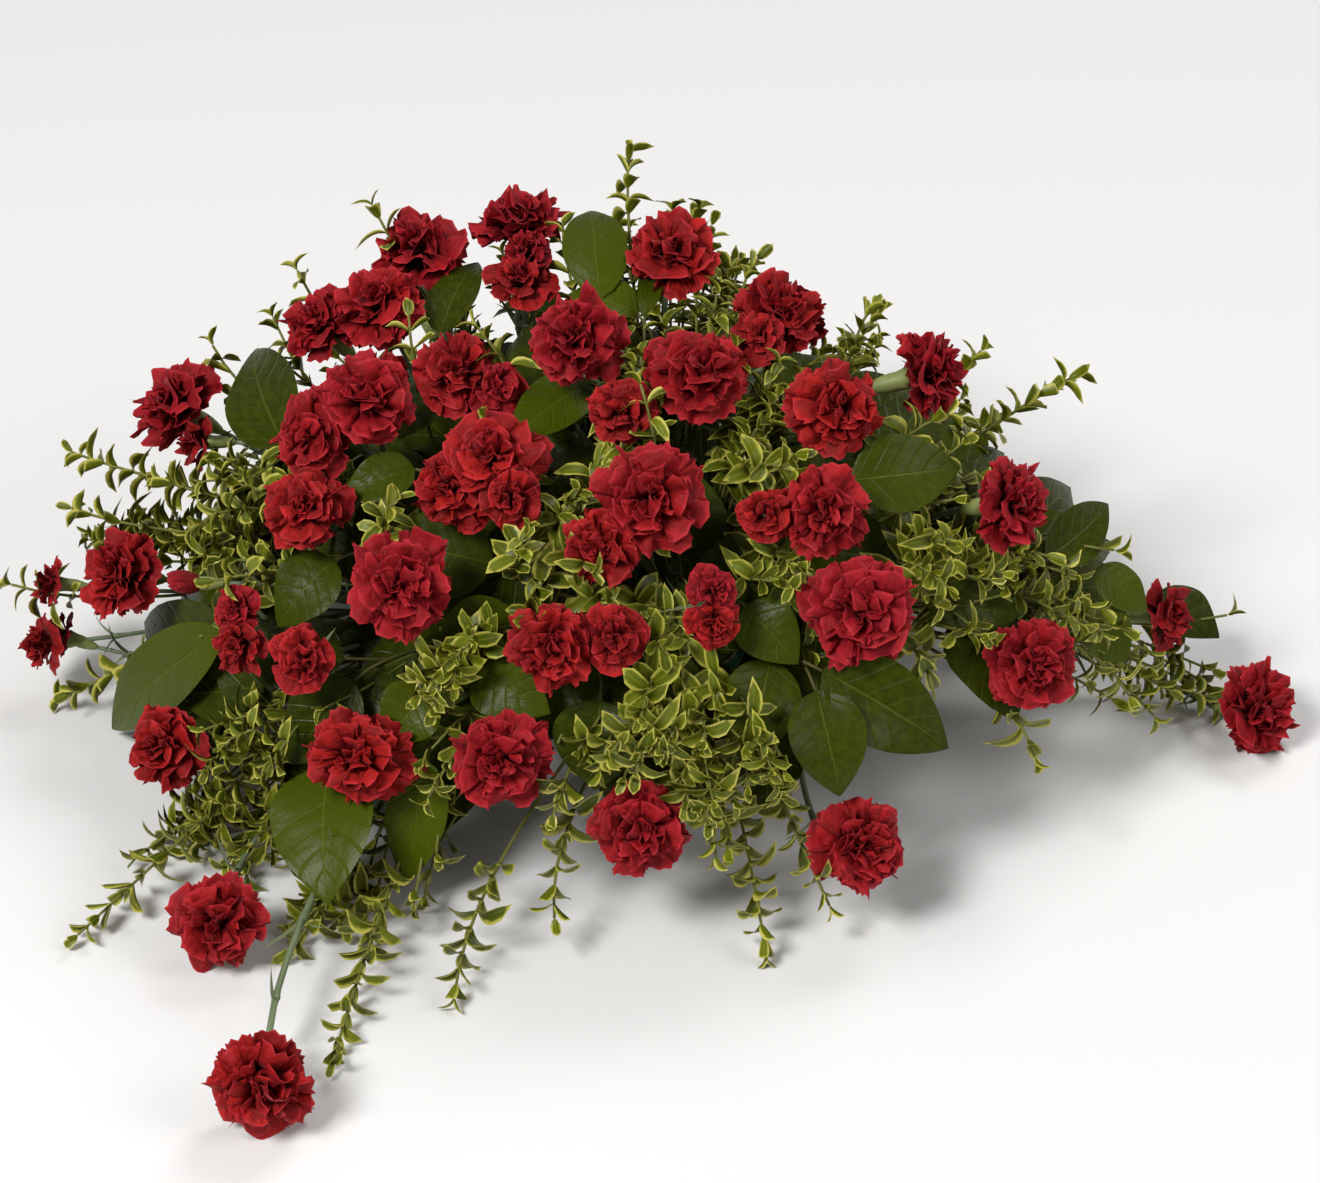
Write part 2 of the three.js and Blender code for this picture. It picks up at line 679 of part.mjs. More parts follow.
function salalNode(point) {
  if (point.y > 50) return "salal_back";
  return point.x < 0 ? "salal_left" : "salal_right";
}

function addSalal(base, tip, up, width) {
  const node = salalNode(base);
  const along = tip.clone().sub(base);
  const length = along.length();
  const side = along.clone().normalize().cross(up).normalize();
  const rise = side.clone().cross(along).normalize();
  const blade = SALAL_BLADE.map(([share]) => {
    const arch = SALAL.arch * length * 4 * share * (1 - share);
    return base.clone().addScaledVector(along, share).addScaledVector(rise, arch);
  });
  const arriving = along.normalize().addScaledVector(outward(base), 0.5).normalize();
  const build = (curve, gap) => {
    const points = curvePoints(curve, SALAL.section);
    const stem = points.map(() => [SALAL.stem + gap, SALAL.stem + gap, 0]);
    const sizes = SALAL_BLADE.map(([, wide, high]) => {
      const half = wide * width + gap;
      return [half, (SALAL.thickness / 2) * high + gap, half * SALAL.fold];
    });
    const path = [...points.slice(0, -1), ...blade, tip];
    return limb(path, [...stem.slice(0, -1), ...sizes], side);
  };
  const curve = grow(node, base, arriving, SALAL.handle, build, true);
  if (!curve) return;
  const points = [...curvePoints(curve, SALAL.section).slice(0, -1), blade[0], blade[1]];
  placed.at(-1).core = limb(points, points.map(() => [SALAL.stem + GAP, SALAL.stem + GAP]), side);
}

function makeSalal() {
  for (const [baseAcross, baseUp, tipAcross, tipUp, width, under, lift] of SALAL_LEAVES) {
    const base = seat(baseAcross, baseUp, 14 + lift, -under - 12);
    const tip = seat(tipAcross, tipUp, 8 + lift, -under);
    addSalal(base, tip, VIEW_BACK.clone().add(outward(base)).normalize(), width);
  }
  for (const [bearing, pitch, length, width] of FAR_SALAL) {
    const way = heading(bearing, pitch);
    const tip = onDome(way);
    const base = tip.clone().addScaledVector(way, -length);
    base.z = Math.max(base.z, 24);
    tip.z = Math.max(tip.z, 6);
    addSalal(base, tip, outward(tip).add(new THREE.Vector3(0, 0, 1)).normalize(), width);
  }
}

// Boxwood: across and up where the leafy end of each sprig starts, then of its tip.
const SPRIGS = [
  [-42, 188, -22, 316],
  [-186, 237, -207, 278],
  [-238, 187, -261, 231],
  [-179, 165, -181, 198],
  [-107, 163, -131, 190],
  [-76, 210, -70, 264],
  [6, 172, 70, 239],
  [112, 156, 153, 206],
  [173, 108, 301, 156],
  [-328, 66, -423, 100],
  [-360, 31, -423, 60],
  [-302, 138, -322, 177],
  [-421, -10, -467, 5],
  [-356, -39, -431, -76],
  [-313, -150, -419, -247],
  [-202, -211, -235, -337],
  [-140, -183, -148, -292],
  [-86, -150, -76, -235],
  [61, -150, 76, -260],
  [83, -143, 122, -226],
  [256, -71, 270, -119],
  [310, -46, 403, -80],
  [158, 51, 317, -13],
  [-130, 23, -83, -31],
  [-158, -6, -148, -64],
  [-25, -49, -43, -129],
  [29, -71, 40, -190],
  [-295, 87, -338, 44],
  [43, 116, 94, 87],
  [-191, 44, -223, 62],
  [-94, 51, -50, 15],
  [0, 109, -14, 149],
  [191, -17, 198, -78],
  [317, -35, 338, -75],
  [-259, 23, -320, 8],
  [194, 59, 288, 23],
  [151, 109, 205, 127],
  [-281, -143, -338, -186],
];
const FAR_SPRIGS = [
  [172, 20, 120],
  [208, 22, 120],
  [236, 30, 110],
  [126, 32, 110],
  [150, 52, 100],
  [196, 56, 100],
];

function boxwoodNode(point) {
  if (point.x < -150 && point.y < 140) return "boxwood_left";
  if (point.x > 130 && point.y < 140) return "boxwood_right";
  return point.y > 0 || point.z > 230 ? "boxwood_crown" : "boxwood_front";
}

// A boxwood leaf on one face of its twig: pointed, creased along its middle, its edges turned down.
function boxLeaf(ring, face, centre, way, open, scale, gap) {
  const [a, b] = [ring[face], ring[(face + 1) % ring.length]];
  const root = a.clone().add(b).multiplyScalar(0.5);
  const out = root.clone().sub(centre);
  out.addScaledVector(way, -out.dot(way)).normalize();
  const side = a.clone().sub(b).normalize();
  const along = way.clone().multiplyScalar(Math.cos(open)).addScaledVector(out, Math.sin(open));
  const rise = way.clone().multiplyScalar(Math.sin(open)).addScaledVector(out, -Math.cos(open));
  const half = (BOXWOOD.width / 2) * scale + gap;
  const at = (forward, aside, lift) =>
    root.clone().addScaledVector(along, forward).addScaledVector(side, aside).addScaledVector(rise, lift);
  const middle = BOXWOOD.leaf * scale * 0.52;
  const drop = -BOXWOOD.drop * scale - gap;
  return {
    crotch: root.clone().addScaledVector(way, 3),
    left: at(middle, half, drop),
    right: at(middle, -half, drop),
    tip: at(BOXWOOD.leaf * scale + 2 * gap, 0, gap),
    foot: at(BOXWOOD.twig, 0, gap),
  };
}

function addSprig(base, tip, seed) {
  const node = boxwoodNode(tip);
  const along = tip.clone().sub(base);
  const pairs = Math.round(THREE.MathUtils.clamp(along.length() / BOXWOOD.spacing, 3, 6));
  const leafy = 4 + (pairs - 1) * BOXWOOD.spacing;
  const twig = (curve) => {
    const length = curve.getLength();
    const plain = Math.max(2, Math.round((length - leafy) / BOXWOOD.section));
    const places = Array.from({ length: plain }, (_, i) => ((length - leafy) * i) / plain);
    for (let pair = 0; pair < pairs; pair++) {
      places.push(length - leafy + pair * BOXWOOD.spacing);
    }
    return [...places, length - 1, length].map((at) => curve.getPointAt(at / length));
  };
  const build = (curve, gap, leaves = []) => {
    const path = twig(curve);
    const sizes = path.map(() => [BOXWOOD.twig + gap, BOXWOOD.twig + gap]);
    return limb(path, sizes, VIEW_RIGHT, THREE_SIDED, leaves);
  };
  const curve = grow(node, tip, along.normalize(), BOXWOOD.handle, build);
  if (!curve) return;
  placed.pop();
  const path = twig(curve);
  const first = path.length - 2 - pairs;
  const sizes = path.map(() => [BOXWOOD.twig, BOXWOOD.twig]);
  const rings = sections(path, sizes, VIEW_RIGHT, THREE_SIDED);
  const random = seeded(seed);
  const leaves = [];
  for (let pair = 0; pair < pairs; pair++) {
    const section = first + pair;
    const last = pair === pairs - 1;
    const way = path[section + 1].clone().sub(path[section]).normalize();
    for (const face of [pair % 3, (pair + 1) % 3]) {
      const open = (last ? 0.45 : 0.85) + 0.3 * (random() - 0.5);
      const scale = (last ? 0.75 : 1) * (0.88 + 0.2 * random());
      const blade = (gap) => boxLeaf(rings[section], face, path[section], way, open, scale, gap);
      const { foot, left, right, tip: point } = blade(2 * GAP);
      const fat = fromPoints([foot, left, point, right], [[0, 2, 1], [0, 3, 2], [0, 1, 3], [1, 2, 3]]);
      if (fat.boundingBox().min[2] < FLOOR_GAP || meeting(fat, node).length > 0) continue;
      leaves.push({ section, face, ...blade(0) });
    }
  }
  place(node, build(curve, 0, leaves), true);
}

function makeBoxwood() {
  SPRIGS.forEach(([baseAcross, baseUp, tipAcross, tipUp], i) => {
    addSprig(seat(baseAcross, baseUp, 10, -12), seat(tipAcross, tipUp, 10, 6), 500 + 41 * i);
  });
  for (const [bearing, pitch, length] of FAR_SPRIGS) {
    const way = heading(bearing, pitch);
    const tip = onDome(way);
    tip.z = Math.max(tip.z, 12);
    addSprig(tip.clone().addScaledVector(way, -length), tip, 200 + 7 * bearing);
  }
}

// Assembly

makeHolder();
const heads = listHeads();
for (const head of heads) place(head.node, makeHead(head, heads), false);
Object.keys(SOCKETS).forEach(openSocket);
makeSalal();
heads.forEach(makeCarnationStem);
makeBoxwood();

function materialOf(node) {
  if (node.startsWith("bloom_")) return materials.petal;
  if (node.startsWith("carnation_stems")) return materials.stem;
  if (node.startsWith("salal")) return materials.salal;
  if (node.startsWith("boxwood")) return materials.boxwood;
  if (node.startsWith("anchor_tape")) return materials.tape;
  return { nonslip_pad: materials.pad, saddle_tray: materials.plastic }[node] ?? materials.foam;
}

const spray = new THREE.Group();
for (const node of new Set(placed.map((piece) => piece.node))) {
  const pieces = placed.filter((piece) => piece.node === node);
  const whole = largest(wasm.Manifold.union(pieces.map((piece) => piece.solid))).simplify(0.05);
  const { min, max } = whole.boundingBox();
  const middle = new THREE.Vector3(min[0] + max[0], min[1] + max[1], min[2] + max[2]);
  middle.multiplyScalar(0.5).round();
  const mesh = new THREE.Mesh(toGeometry(whole, middle), materialOf(node));
  mesh.name = node;
  mesh.position.copy(middle);
  spray.add(mesh);
}

export default spray;
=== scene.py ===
import json

import bpy
import numpy as np
from mathutils import Matrix

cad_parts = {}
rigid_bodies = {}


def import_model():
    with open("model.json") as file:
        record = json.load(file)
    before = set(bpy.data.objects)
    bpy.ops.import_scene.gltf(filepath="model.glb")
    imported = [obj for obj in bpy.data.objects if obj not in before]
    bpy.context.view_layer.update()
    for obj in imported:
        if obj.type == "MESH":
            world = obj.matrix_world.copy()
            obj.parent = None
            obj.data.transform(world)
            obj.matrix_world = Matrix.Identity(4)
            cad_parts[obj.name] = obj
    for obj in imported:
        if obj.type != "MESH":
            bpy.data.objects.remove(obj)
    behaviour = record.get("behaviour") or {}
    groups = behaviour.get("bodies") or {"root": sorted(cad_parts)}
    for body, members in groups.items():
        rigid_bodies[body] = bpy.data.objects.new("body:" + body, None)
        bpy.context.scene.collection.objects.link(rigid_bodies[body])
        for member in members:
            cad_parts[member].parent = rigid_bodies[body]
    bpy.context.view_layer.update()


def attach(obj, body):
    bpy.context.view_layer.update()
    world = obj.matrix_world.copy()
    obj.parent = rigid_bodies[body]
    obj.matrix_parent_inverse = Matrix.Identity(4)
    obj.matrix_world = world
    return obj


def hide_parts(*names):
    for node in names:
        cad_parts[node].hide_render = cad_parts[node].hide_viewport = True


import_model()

# Front view
# The spray is made up to be seen from in front and 37 degrees above the surface that it stands on.
# Lengths are in millimetres. A place in this view is a distance across and up from its middle.
MM = 0.001
VIEW_MIDDLE = np.array([14.0, 0.0, 80.0])
VIEW_RIGHT = np.array([1.0, 0.0, 0.0])
VIEW_UP = np.array([0.0, 0.6, 0.8])
VIEW_BACK = np.array([0.0, -0.8, 0.6])
VIEW_DISTANCE = 2600.0
EYE = VIEW_MIDDLE + VIEW_DISTANCE * VIEW_BACK
# The frame is this many pixels wide, and a pixel is this wide at the view's middle.
FRAME_PIXELS = 1320
PIXEL = 0.72
SENSOR_WIDTH = 36.0
FAR_CLIP = 100.0

view_camera = bpy.data.objects.new("front_view", bpy.data.cameras.new("front_view"))
bpy.context.scene.collection.objects.link(view_camera)
view_camera.data.sensor_width = SENSOR_WIDTH
view_camera.data.lens = SENSOR_WIDTH * VIEW_DISTANCE / (FRAME_PIXELS * PIXEL)
view_camera.data.clip_end = FAR_CLIP
axes = np.stack([VIEW_RIGHT, VIEW_UP, VIEW_BACK], axis=1)
view_camera.matrix_world = Matrix.Translation(EYE * MM) @ Matrix(axes.tolist()).to_4x4()
bpy.context.scene.camera = view_camera
bpy.context.scene.view_settings.view_transform = "Standard"

# Studio floor and light
# A pale matt floor, one broad soft light high on the left, a weak one on the right, a third high
# behind, and an even white sky that fills the shadows.
FLOOR_HALF = 9000.0
FLOOR_COLOUR = (0.8, 0.79, 0.78, 1)
SKY_COLOUR = (1.0, 1.0, 1.0, 1)
SKY_STRENGTH = 0.2
# Each light's place, the point that it faces, the length of its side, and its power in watts.
LIGHTS = {
    "window_left": ((-2400, -2500, 4000), (0, 0, 150), 1500, 230),
    "window_right": ((2900, -1500, 2600), (0, 0, 120), 2000, 48),
    "window_back": ((1900, 2500, 4400), (0, 0, 120), 2000, 90),
}

floor_mesh = bpy.data.meshes.new("studio_floor")
corners = np.array([[-1, -1, 0], [1, -1, 0], [1, 1, 0], [-1, 1, 0]]) * FLOOR_HALF * MM
floor_mesh.from_pydata(corners.tolist(), [], [(0, 1, 2, 3)])
floor = bpy.data.objects.new("studio_floor", floor_mesh)
bpy.context.scene.collection.objects.link(floor)
floor_paint = bpy.data.materials.new("studio_floor")
floor_paint.use_nodes = True
floor_shader = floor_paint.node_tree.nodes["Principled BSDF"]
floor_shader.inputs["Base Color"].default_value = FLOOR_COLOUR
floor_shader.inputs["Roughness"].default_value = 0.9
floor_shader.inputs["Specular IOR Level"].default_value = 0.1
floor_mesh.materials.append(floor_paint)


def unit(vectors):
    """Each vector divided by its own length."""
    vectors = np.asarray(vectors, float)
    return vectors / np.maximum(np.linalg.norm(vectors, axis=-1, keepdims=True), 1e-9)


def add_soft_light(name, place, aim, size, watts):
    """A square area light at a place, turned to face a point, all in millimetres."""
    lamp = bpy.data.objects.new(name, bpy.data.lights.new(name, "AREA"))
    lamp.data.size = size * MM
    lamp.data.energy = watts
    back = unit(np.subtract(place, aim))
    right = unit(np.cross([0, 0, 1], back))
    turn = Matrix(np.stack([right, np.cross(back, right), back], axis=1).tolist())
    lamp.matrix_world = Matrix.Translation(np.multiply(place, MM)) @ turn.to_4x4()
    bpy.context.scene.collection.objects.link(lamp)


for name, light in LIGHTS.items():
    add_soft_light(name, *light)
world = bpy.data.worlds.new("studio")
world.use_nodes = True
sky = world.node_tree.nodes["Background"]
sky.inputs["Color"].default_value = SKY_COLOUR
sky.inputs["Strength"].default_value = SKY_STRENGTH
bpy.context.scene.world = world

# Carnation heads
# A standard carnation is a dense cup of some thirty ruffled petals with pinked edges, wide and arched
# at the outside and crumpled upright at the heart. A spray carnation is half as wide, with fewer.
# Petals are thin and velvety. Heads that press together flatten each other.

# The dome that the flowers follow, in half sizes.
DOME = np.array([400.0, 300.0, 330.0])
# The neck is this share of a head's radius behind its middle. Narrower heads are spray carnations.
NECK = 0.45
SMALL_HEAD = 58
CALYX_LENGTH = 26
CALYX_RADIUS = 6.6
# A leaning head reaches down by this share of its half width, and one on the far side by this share
# of its width. Nothing lies lower than LIE.
LEANING_REACH = 0.88
FAR_REACH = 0.45
LIE = 0.3
# Petals that pass the plane between two heads, less CLEAR, go back by PRESS of what is past it. A
# plane further off than PRESS_REACH radii presses nothing.
CLEAR = 0.4
PRESS = 0.8
PRESS_REACH = 1.3

# Across, up, width, the way each faces (right, up, out), and how far proud of the dome it stands.
# Heads of one row are pressed together, and those after the first say instead how much nearer the eye
# they are than the first.
HEADS = {
    "crown_left": [(-173, 245, 76, -0.2, 0.75, 0.6, 0)],
    "crown_middle": [
        (-100, 263, 74, 0, 0.9, 0.35, 0),
        (-96, 244, 46, 0, 0.6, 0.8, 22),
        (-101, 224, 50, 0.1, 0.5, 0.85, 36),
    ],
    "crown_right": [(9, 242, 74, 0.1, 0.55, 0.83, 0)],
    "upper_right": [(85, 198, 74, 0.5, 0.6, 0.6, 0), (72, 184, 46, -0.2, 0.4, 0.9, 23)],
    "reach_right": [(191, 157, 76, 0.95, 0.25, 0.2, 0)],
    "upper_middle": [(30, 157, 78, 0.2, 0.3, 0.93, 0)],
    "heart_top": [(-60, 181, 82, 0, 0.15, 1, 5)],
    "upper_left": [(-204, 204, 74, -0.3, 0.5, 0.8, 0), (-244, 192, 66, -0.5, 0.5, 0.7, -13)],
    "left_heart": [(-210, 138, 82, 0.05, 0.1, 1, 8), (-249, 112, 70, -0.4, 0, 0.9, -10)],
    "middle_pair": [(-146, 157, 64, 0, 0.1, 1, -12), (-118, 147, 46, 0.2, 0.1, 1, 6)],
    "reach_left": [(-348, 133, 70, -0.7, 0.4, 0.6, 0), (-333, 108, 44, -0.9, 0, 0.4, 9)],
    "left_inner": [(-255, 60, 70, -0.1, 0.1, 1, 0)],
    "middle_inner": [(-27, 129, 54, 0, 0.1, 1, -14)],
    "right_upper": [(127, 130, 76, 0.35, 0.1, 0.93, 0)],
    "right_heart": [(118, 57, 74, 0.2, 0, 1, 4), (76, 56, 48, 0, 0, 1, 3)],
    "heart": [(-6, 66, 88, 0, 0, 1, 10), (-42, 32, 68, -0.3, -0.2, 0.9, -8)],
    "trio": [
        (-122, 95, 78, 0.1, 0.4, 0.9, 0),
        (-106, 68, 56, 0.1, -0.1, 1, 15),
        (-148, 74, 66, -0.3, 0, 1, -11),
    ],
    "left_low_heart": [(-188, 5, 82, -0.1, 0, 1, 6)],
    "right_reach_inner": [(253, 64, 70, 0.8, 0.1, 0.6, 0)],
    "right_low_heart": [(145, -15, 86, 0, 0, 1, 4)],
    "right_low": [(270, -52, 80, 0.1, -0.1, 1, 0)],
    "right_tip": [(364, -18, 56, 0.85, 0, 0.5, 0)],
    "right_end": [(430, -84, 76, 0.6, 0, 0.8, 0)],
    "trail_right": [(145, -185, 80, 0.4, -0.1, 0.9, 0)],
    "trail_middle": [(-14, -170, 76, 0, -0.4, 0.9, 0)],
    "low_middle": [(-113, -121, 80, 0.1, -0.2, 1, 0)],
    "low_left": [(-218, -119, 78, -0.1, -0.2, 1, 0)],
    "low_far_left": [(-356, -112, 68, -0.5, 0, 0.85, 0)],
    "trail_left": [(-317, -240, 80, 0, -0.3, 0.95, 0)],
    "trail_end": [(-286, -354, 86, 0, -0.6, 0.8, 0)],
    "left_side": [(-387, 13, 70, -0.6, 0.1, 0.8, 0)],
    "left_tip": [(-438, 6, 38, -0.95, 0.1, 0.3, 0)],
    "left_tip_low": [(-443, -38, 46, -0.9, -0.1, 0.4, 0), (-431, -31, 38, -0.8, 0.3, 0.2, -10)],
    "left_bud": [(-338, 6, 20, -1, 0, 0.1, 0)],
    "left_mini": [(-306, -13, 36, -0.3, 0.2, 0.9, 0), (-302, -37, 52, -0.5, -0.3, 0.8, 0)],
    "left_mini_front": [(-256, -48, 50, 0, 0, 1, 4)],
    "low_pair": [(-78, -39, 76, -0.1, -0.2, 1, 0), (-34, -33, 54, 0.1, 0, 1, 0)],
    "mini_pair": [(38, 1, 42, 0.1, 0.2, 1, 4), (39, -23, 44, 0.1, -0.1, 1, 0)],
}
# Heads on the far side: bearing clockwise from the front, pitch and width.
FAR_HEADS = {
    "back_left_low": (209, 9, 72),
    "back_left_high": (202, 29, 74),
    "back_middle": (170, 22, 76),
    "back_right_high": (138, 42, 72),
    "back_right_low": (142, 14, 76),
}

# Layers from the outside in: petals, half spread in radians, the middle line's four points (out from
# the axis, up from the neck, in head radii), height of the waves, waves across, and columns and rows.
LAYERS = [
    (5, 0.72, ((0.1, -0.06), (0.2, 0.34), (0.62, 0.44), (1.02, 0.22)), 0.12, 1.4, 25, 7),
    (5, 0.74, ((0.1, 0.0), (0.2, 0.44), (0.56, 0.62), (0.95, 0.46)), 0.13, 1.5, 25, 7),
    (5, 0.78, ((0.09, 0.0), (0.2, 0.5), (0.44, 0.76), (0.82, 0.66)), 0.14, 1.4, 19, 7),
    (6, 0.72, ((0.07, 0.0), (0.16, 0.5), (0.28, 0.84), (0.64, 0.84)), 0.15, 1.4, 15, 6),
    (5, 0.85, ((0.05, 0.05), (0.1, 0.55), (0.13, 0.92), (0.42, 0.95)), 0.15, 1.4, 15, 6),
    (3, 1.2, ((-0.03, 0.1), (-0.02, 0.55), (0.0, 0.9), (0.24, 1.0)), 0.12, 1.4, 13, 5),
]
SMALL_LAYERS = [
    (5, 0.72, ((0.12, -0.04), (0.22, 0.36), (0.62, 0.48), (1.02, 0.32)), 0.08, 1.2, 15, 6),
    (5, 0.74, ((0.08, 0.0), (0.22, 0.5), (0.42, 0.76), (0.78, 0.68)), 0.11, 1.4, 15, 6),
    (4, 0.9, ((0.06, 0.03), (0.14, 0.54), (0.2, 0.86), (0.5, 0.88)), 0.13, 1.5, 13, 6),
    (3, 1.3, ((-0.03, 0.1), (-0.02, 0.55), (0.0, 0.88), (0.24, 0.98)), 0.12, 1.5, 11, 5),
]
# A bud is still furled: its petals wrap round each other and stand well out of the calyx.
BUD_LAYERS = [
    (4, 1.05, ((0.5, -0.2), (1.05, 0.5), (1.0, 1.5), (0.5, 2.1)), 0.07, 1.0, 13, 7),
    (3, 1.4, ((0.2, -0.1), (0.6, 0.6), (0.55, 1.6), (0.15, 2.2)), 0.07, 1.2, 13, 7),
]
BUD_HEAD = 22
PETAL_THICKNESS = 0.5
# Teeth are cut to a share of a petal's length: the square of its columns over this number.
TOOTH_COLUMNS = 104
# A phase or a turn drawn at random, in radians.
ANY_TURN = (0, 6.3)
HEAD_SEED = 100


def sight_line(across, up):
    """From the eye to a place in the front view."""
    return VIEW_MIDDLE + across * VIEW_RIGHT + up * VIEW_UP - EYE


def seat(across, up, low, proud=0.0):
    """Where a sight line meets the dome grown by proud, or passes nearest, and never below low.

    Eye plus line times t lies on the dome where the squares of its parts over the half sizes sum to 1.
    """
    line = sight_line(across, up)
    size = DOME + proud
    start, step = EYE / size, line / size
    square, half = step @ step, start @ step
    past = max(0.0, half * half - square * (start @ start - 1))
    reach = (-half - past**0.5) / square
    if EYE[2] + line[2] * reach < low:
        reach = (low - EYE[2]) / line[2]
    return EYE + line * reach


def beside(point, across, up, near):
    """Where the sight line through a place is as deep in the view as a point, less near."""
    depth = (EYE - point) @ VIEW_BACK - near
    return EYE + sight_line(across, up) * depth / VIEW_DISTANCE


def facing(right, up, out):
    """A direction given in the front view."""
    return unit(right * VIEW_RIGHT + up * VIEW_UP + out * VIEW_BACK)


def heading(bearing, pitch):
    """A direction by its bearing, clockwise from straight ahead of the front, and its pitch.

    Its level part is the sine and cosine of the bearing, less as the pitch grows, and it climbs by the
    sine of the pitch.
    """
    turn, climb = np.radians([bearing, pitch])
    return np.array([-np.sin(turn) * np.cos(climb), -np.cos(turn) * np.cos(climb), np.sin(climb)])


def on_dome(way):
    """The point of the dome in a direction from its middle."""
    return way / np.linalg.norm(way / DOME)


def outward(point):
    """The way out of the dome at a point: each part over its half size squared."""
    return unit(point / DOME**2)


def list_heads():
    """Every head as its node, middle, neck, facing and radius, which grows with its way from the eye."""
    heads = []

    def add(name, middle, face, width):
        radius = width / 2 * np.linalg.norm(middle - EYE) / VIEW_DISTANCE
        head = {"node": f"bloom_{name}", "middle": middle, "face": face, "radius": radius}
        heads.append(head | {"neck": middle - face * NECK * radius, "small": width < SMALL_HEAD})

    for name, rows in HEADS.items():
        first = None
        for across, up, width, right, lift, out, proud in rows:
            face = facing(right, lift, out)
            lean = (1 - face[2] ** 2) ** 0.5
            far = NECK * width / 2 + CALYX_LENGTH
            low = max(width / 2 * lean * LEANING_REACH, far * face[2] + CALYX_RADIUS + 1)
            if first is None:
                first = middle = seat(across, up, low, proud)
            else:
                middle = beside(first, across, up, proud)
            add(name, middle, face, width)
    for name, (bearing, pitch, width) in FAR_HEADS.items():
        middle = on_dome(heading(bearing, pitch))
        middle[2] = max(middle[2], width * FAR_REACH)
        add(name, middle, outward(middle), width)
    return heads


def cubic(points, share):
    """The point and the slope of a cubic Bezier curve at shares of its way."""
    a, b, c, d = (np.asarray(point, float) for point in points)
    s = np.asarray(share)[..., None]
    place = a * (1 - s) ** 3 + 3 * b * s * (1 - s) ** 2 + 3 * c * s**2 * (1 - s) + d * s**3
    slope = 3 * (b - a) * (1 - s) ** 2 + 6 * (c - b) * s * (1 - s) + 3 * (d - c) * s**2
    return place, slope


def sheet_grid(rows, columns):
    """Shares of the way along a petal or leaf, 0 to 1, and across it, -1 to 1, for a whole sheet."""
    return np.linspace(0, 1, rows)[None, :, None], np.linspace(-1, 1, columns)[None, None]


def petal_layer(layer, draw):
    """One layer of petals in head radii: (petals, rows, columns, 3), z out of the head.

    Each petal's middle line is a cubic from the neck to its reach. It fans out by turning about the
    head's axis, is shorter to its sides and cut in teeth, and waves lift it square to the middle
    line, growing towards its edge.
    """
    petals, spread, line, wave, waves, columns, rows = layer

    def vary(low, high, *size):
        return draw.uniform(low, high, (petals, *(size or (1, 1))))

    along, across = sheet_grid(rows, columns)
    notch = (np.arange(columns) % 2) * vary(0.1, 1.3, 1, columns) * (columns / TOOTH_COLUMNS) ** 2
    length = (1 - vary(0.03, 0.22) * across**2 - notch * along**4) * vary(0.9, 1.05)
    line = np.array(line)[:, None, None, None] * np.ones((petals, 1, 1, 1))
    line[2:, ..., 0] *= draw.uniform(0.85, 1.11, (1, petals, 1, 1))
    line[3:, ..., 1] += draw.uniform(-0.13, 0.1, (1, petals, 1, 1))
    place, slope = cubic(line, along * length)
    normal = unit(np.stack([-slope[..., 1], slope[..., 0]], axis=-1))
    swell = along**1.5 * wave * vary(0.7, 1.4)
    ripple = np.sin(np.pi * waves * across + vary(*ANY_TURN) + vary(-1.5, 1.5) * along)
    fine = np.sin(np.pi * 2.4 * waves * across + vary(*ANY_TURN) + 2.5 * along)
    ripple = ripple + 0.6 * along * fine
    lift = swell * ripple + along * (0.05 * across + vary(-0.05, 0.05))
    out = place[..., 0] + normal[..., 0] * lift
    up = place[..., 1] + normal[..., 1] * lift
    step = 2 * np.pi / petals
    turn = step * (np.arange(petals)[:, None, None] + vary(-0.16, 0.16)) + draw.uniform(*ANY_TURN)
    fold = wave * along * np.sin(np.pi * waves * 1.4 * across + vary(*ANY_TURN))
    turn = turn + spread * vary(0.85, 1.15) * across + fold / np.maximum(out, 0.15)
    lean = draw.normal(size=(2, petals, 1, 1)) * 0.11
    east, north = out * np.cos(turn) + up * lean[0], out * np.sin(turn) + up * lean[1]
    return np.stack([east, north, up], axis=-1)


def grid_faces(index, wrap=False):
    """Four-sided faces of a grid of point numbers, each from a point, its next in its row, and the two
    above them."""
    if wrap:
        index = np.concatenate([index, index[:, :1]], axis=1)
    return np.stack([index[:-1, :-1], index[:-1, 1:], index[1:, 1:], index[1:, :-1]], -1).reshape(-1, 4)


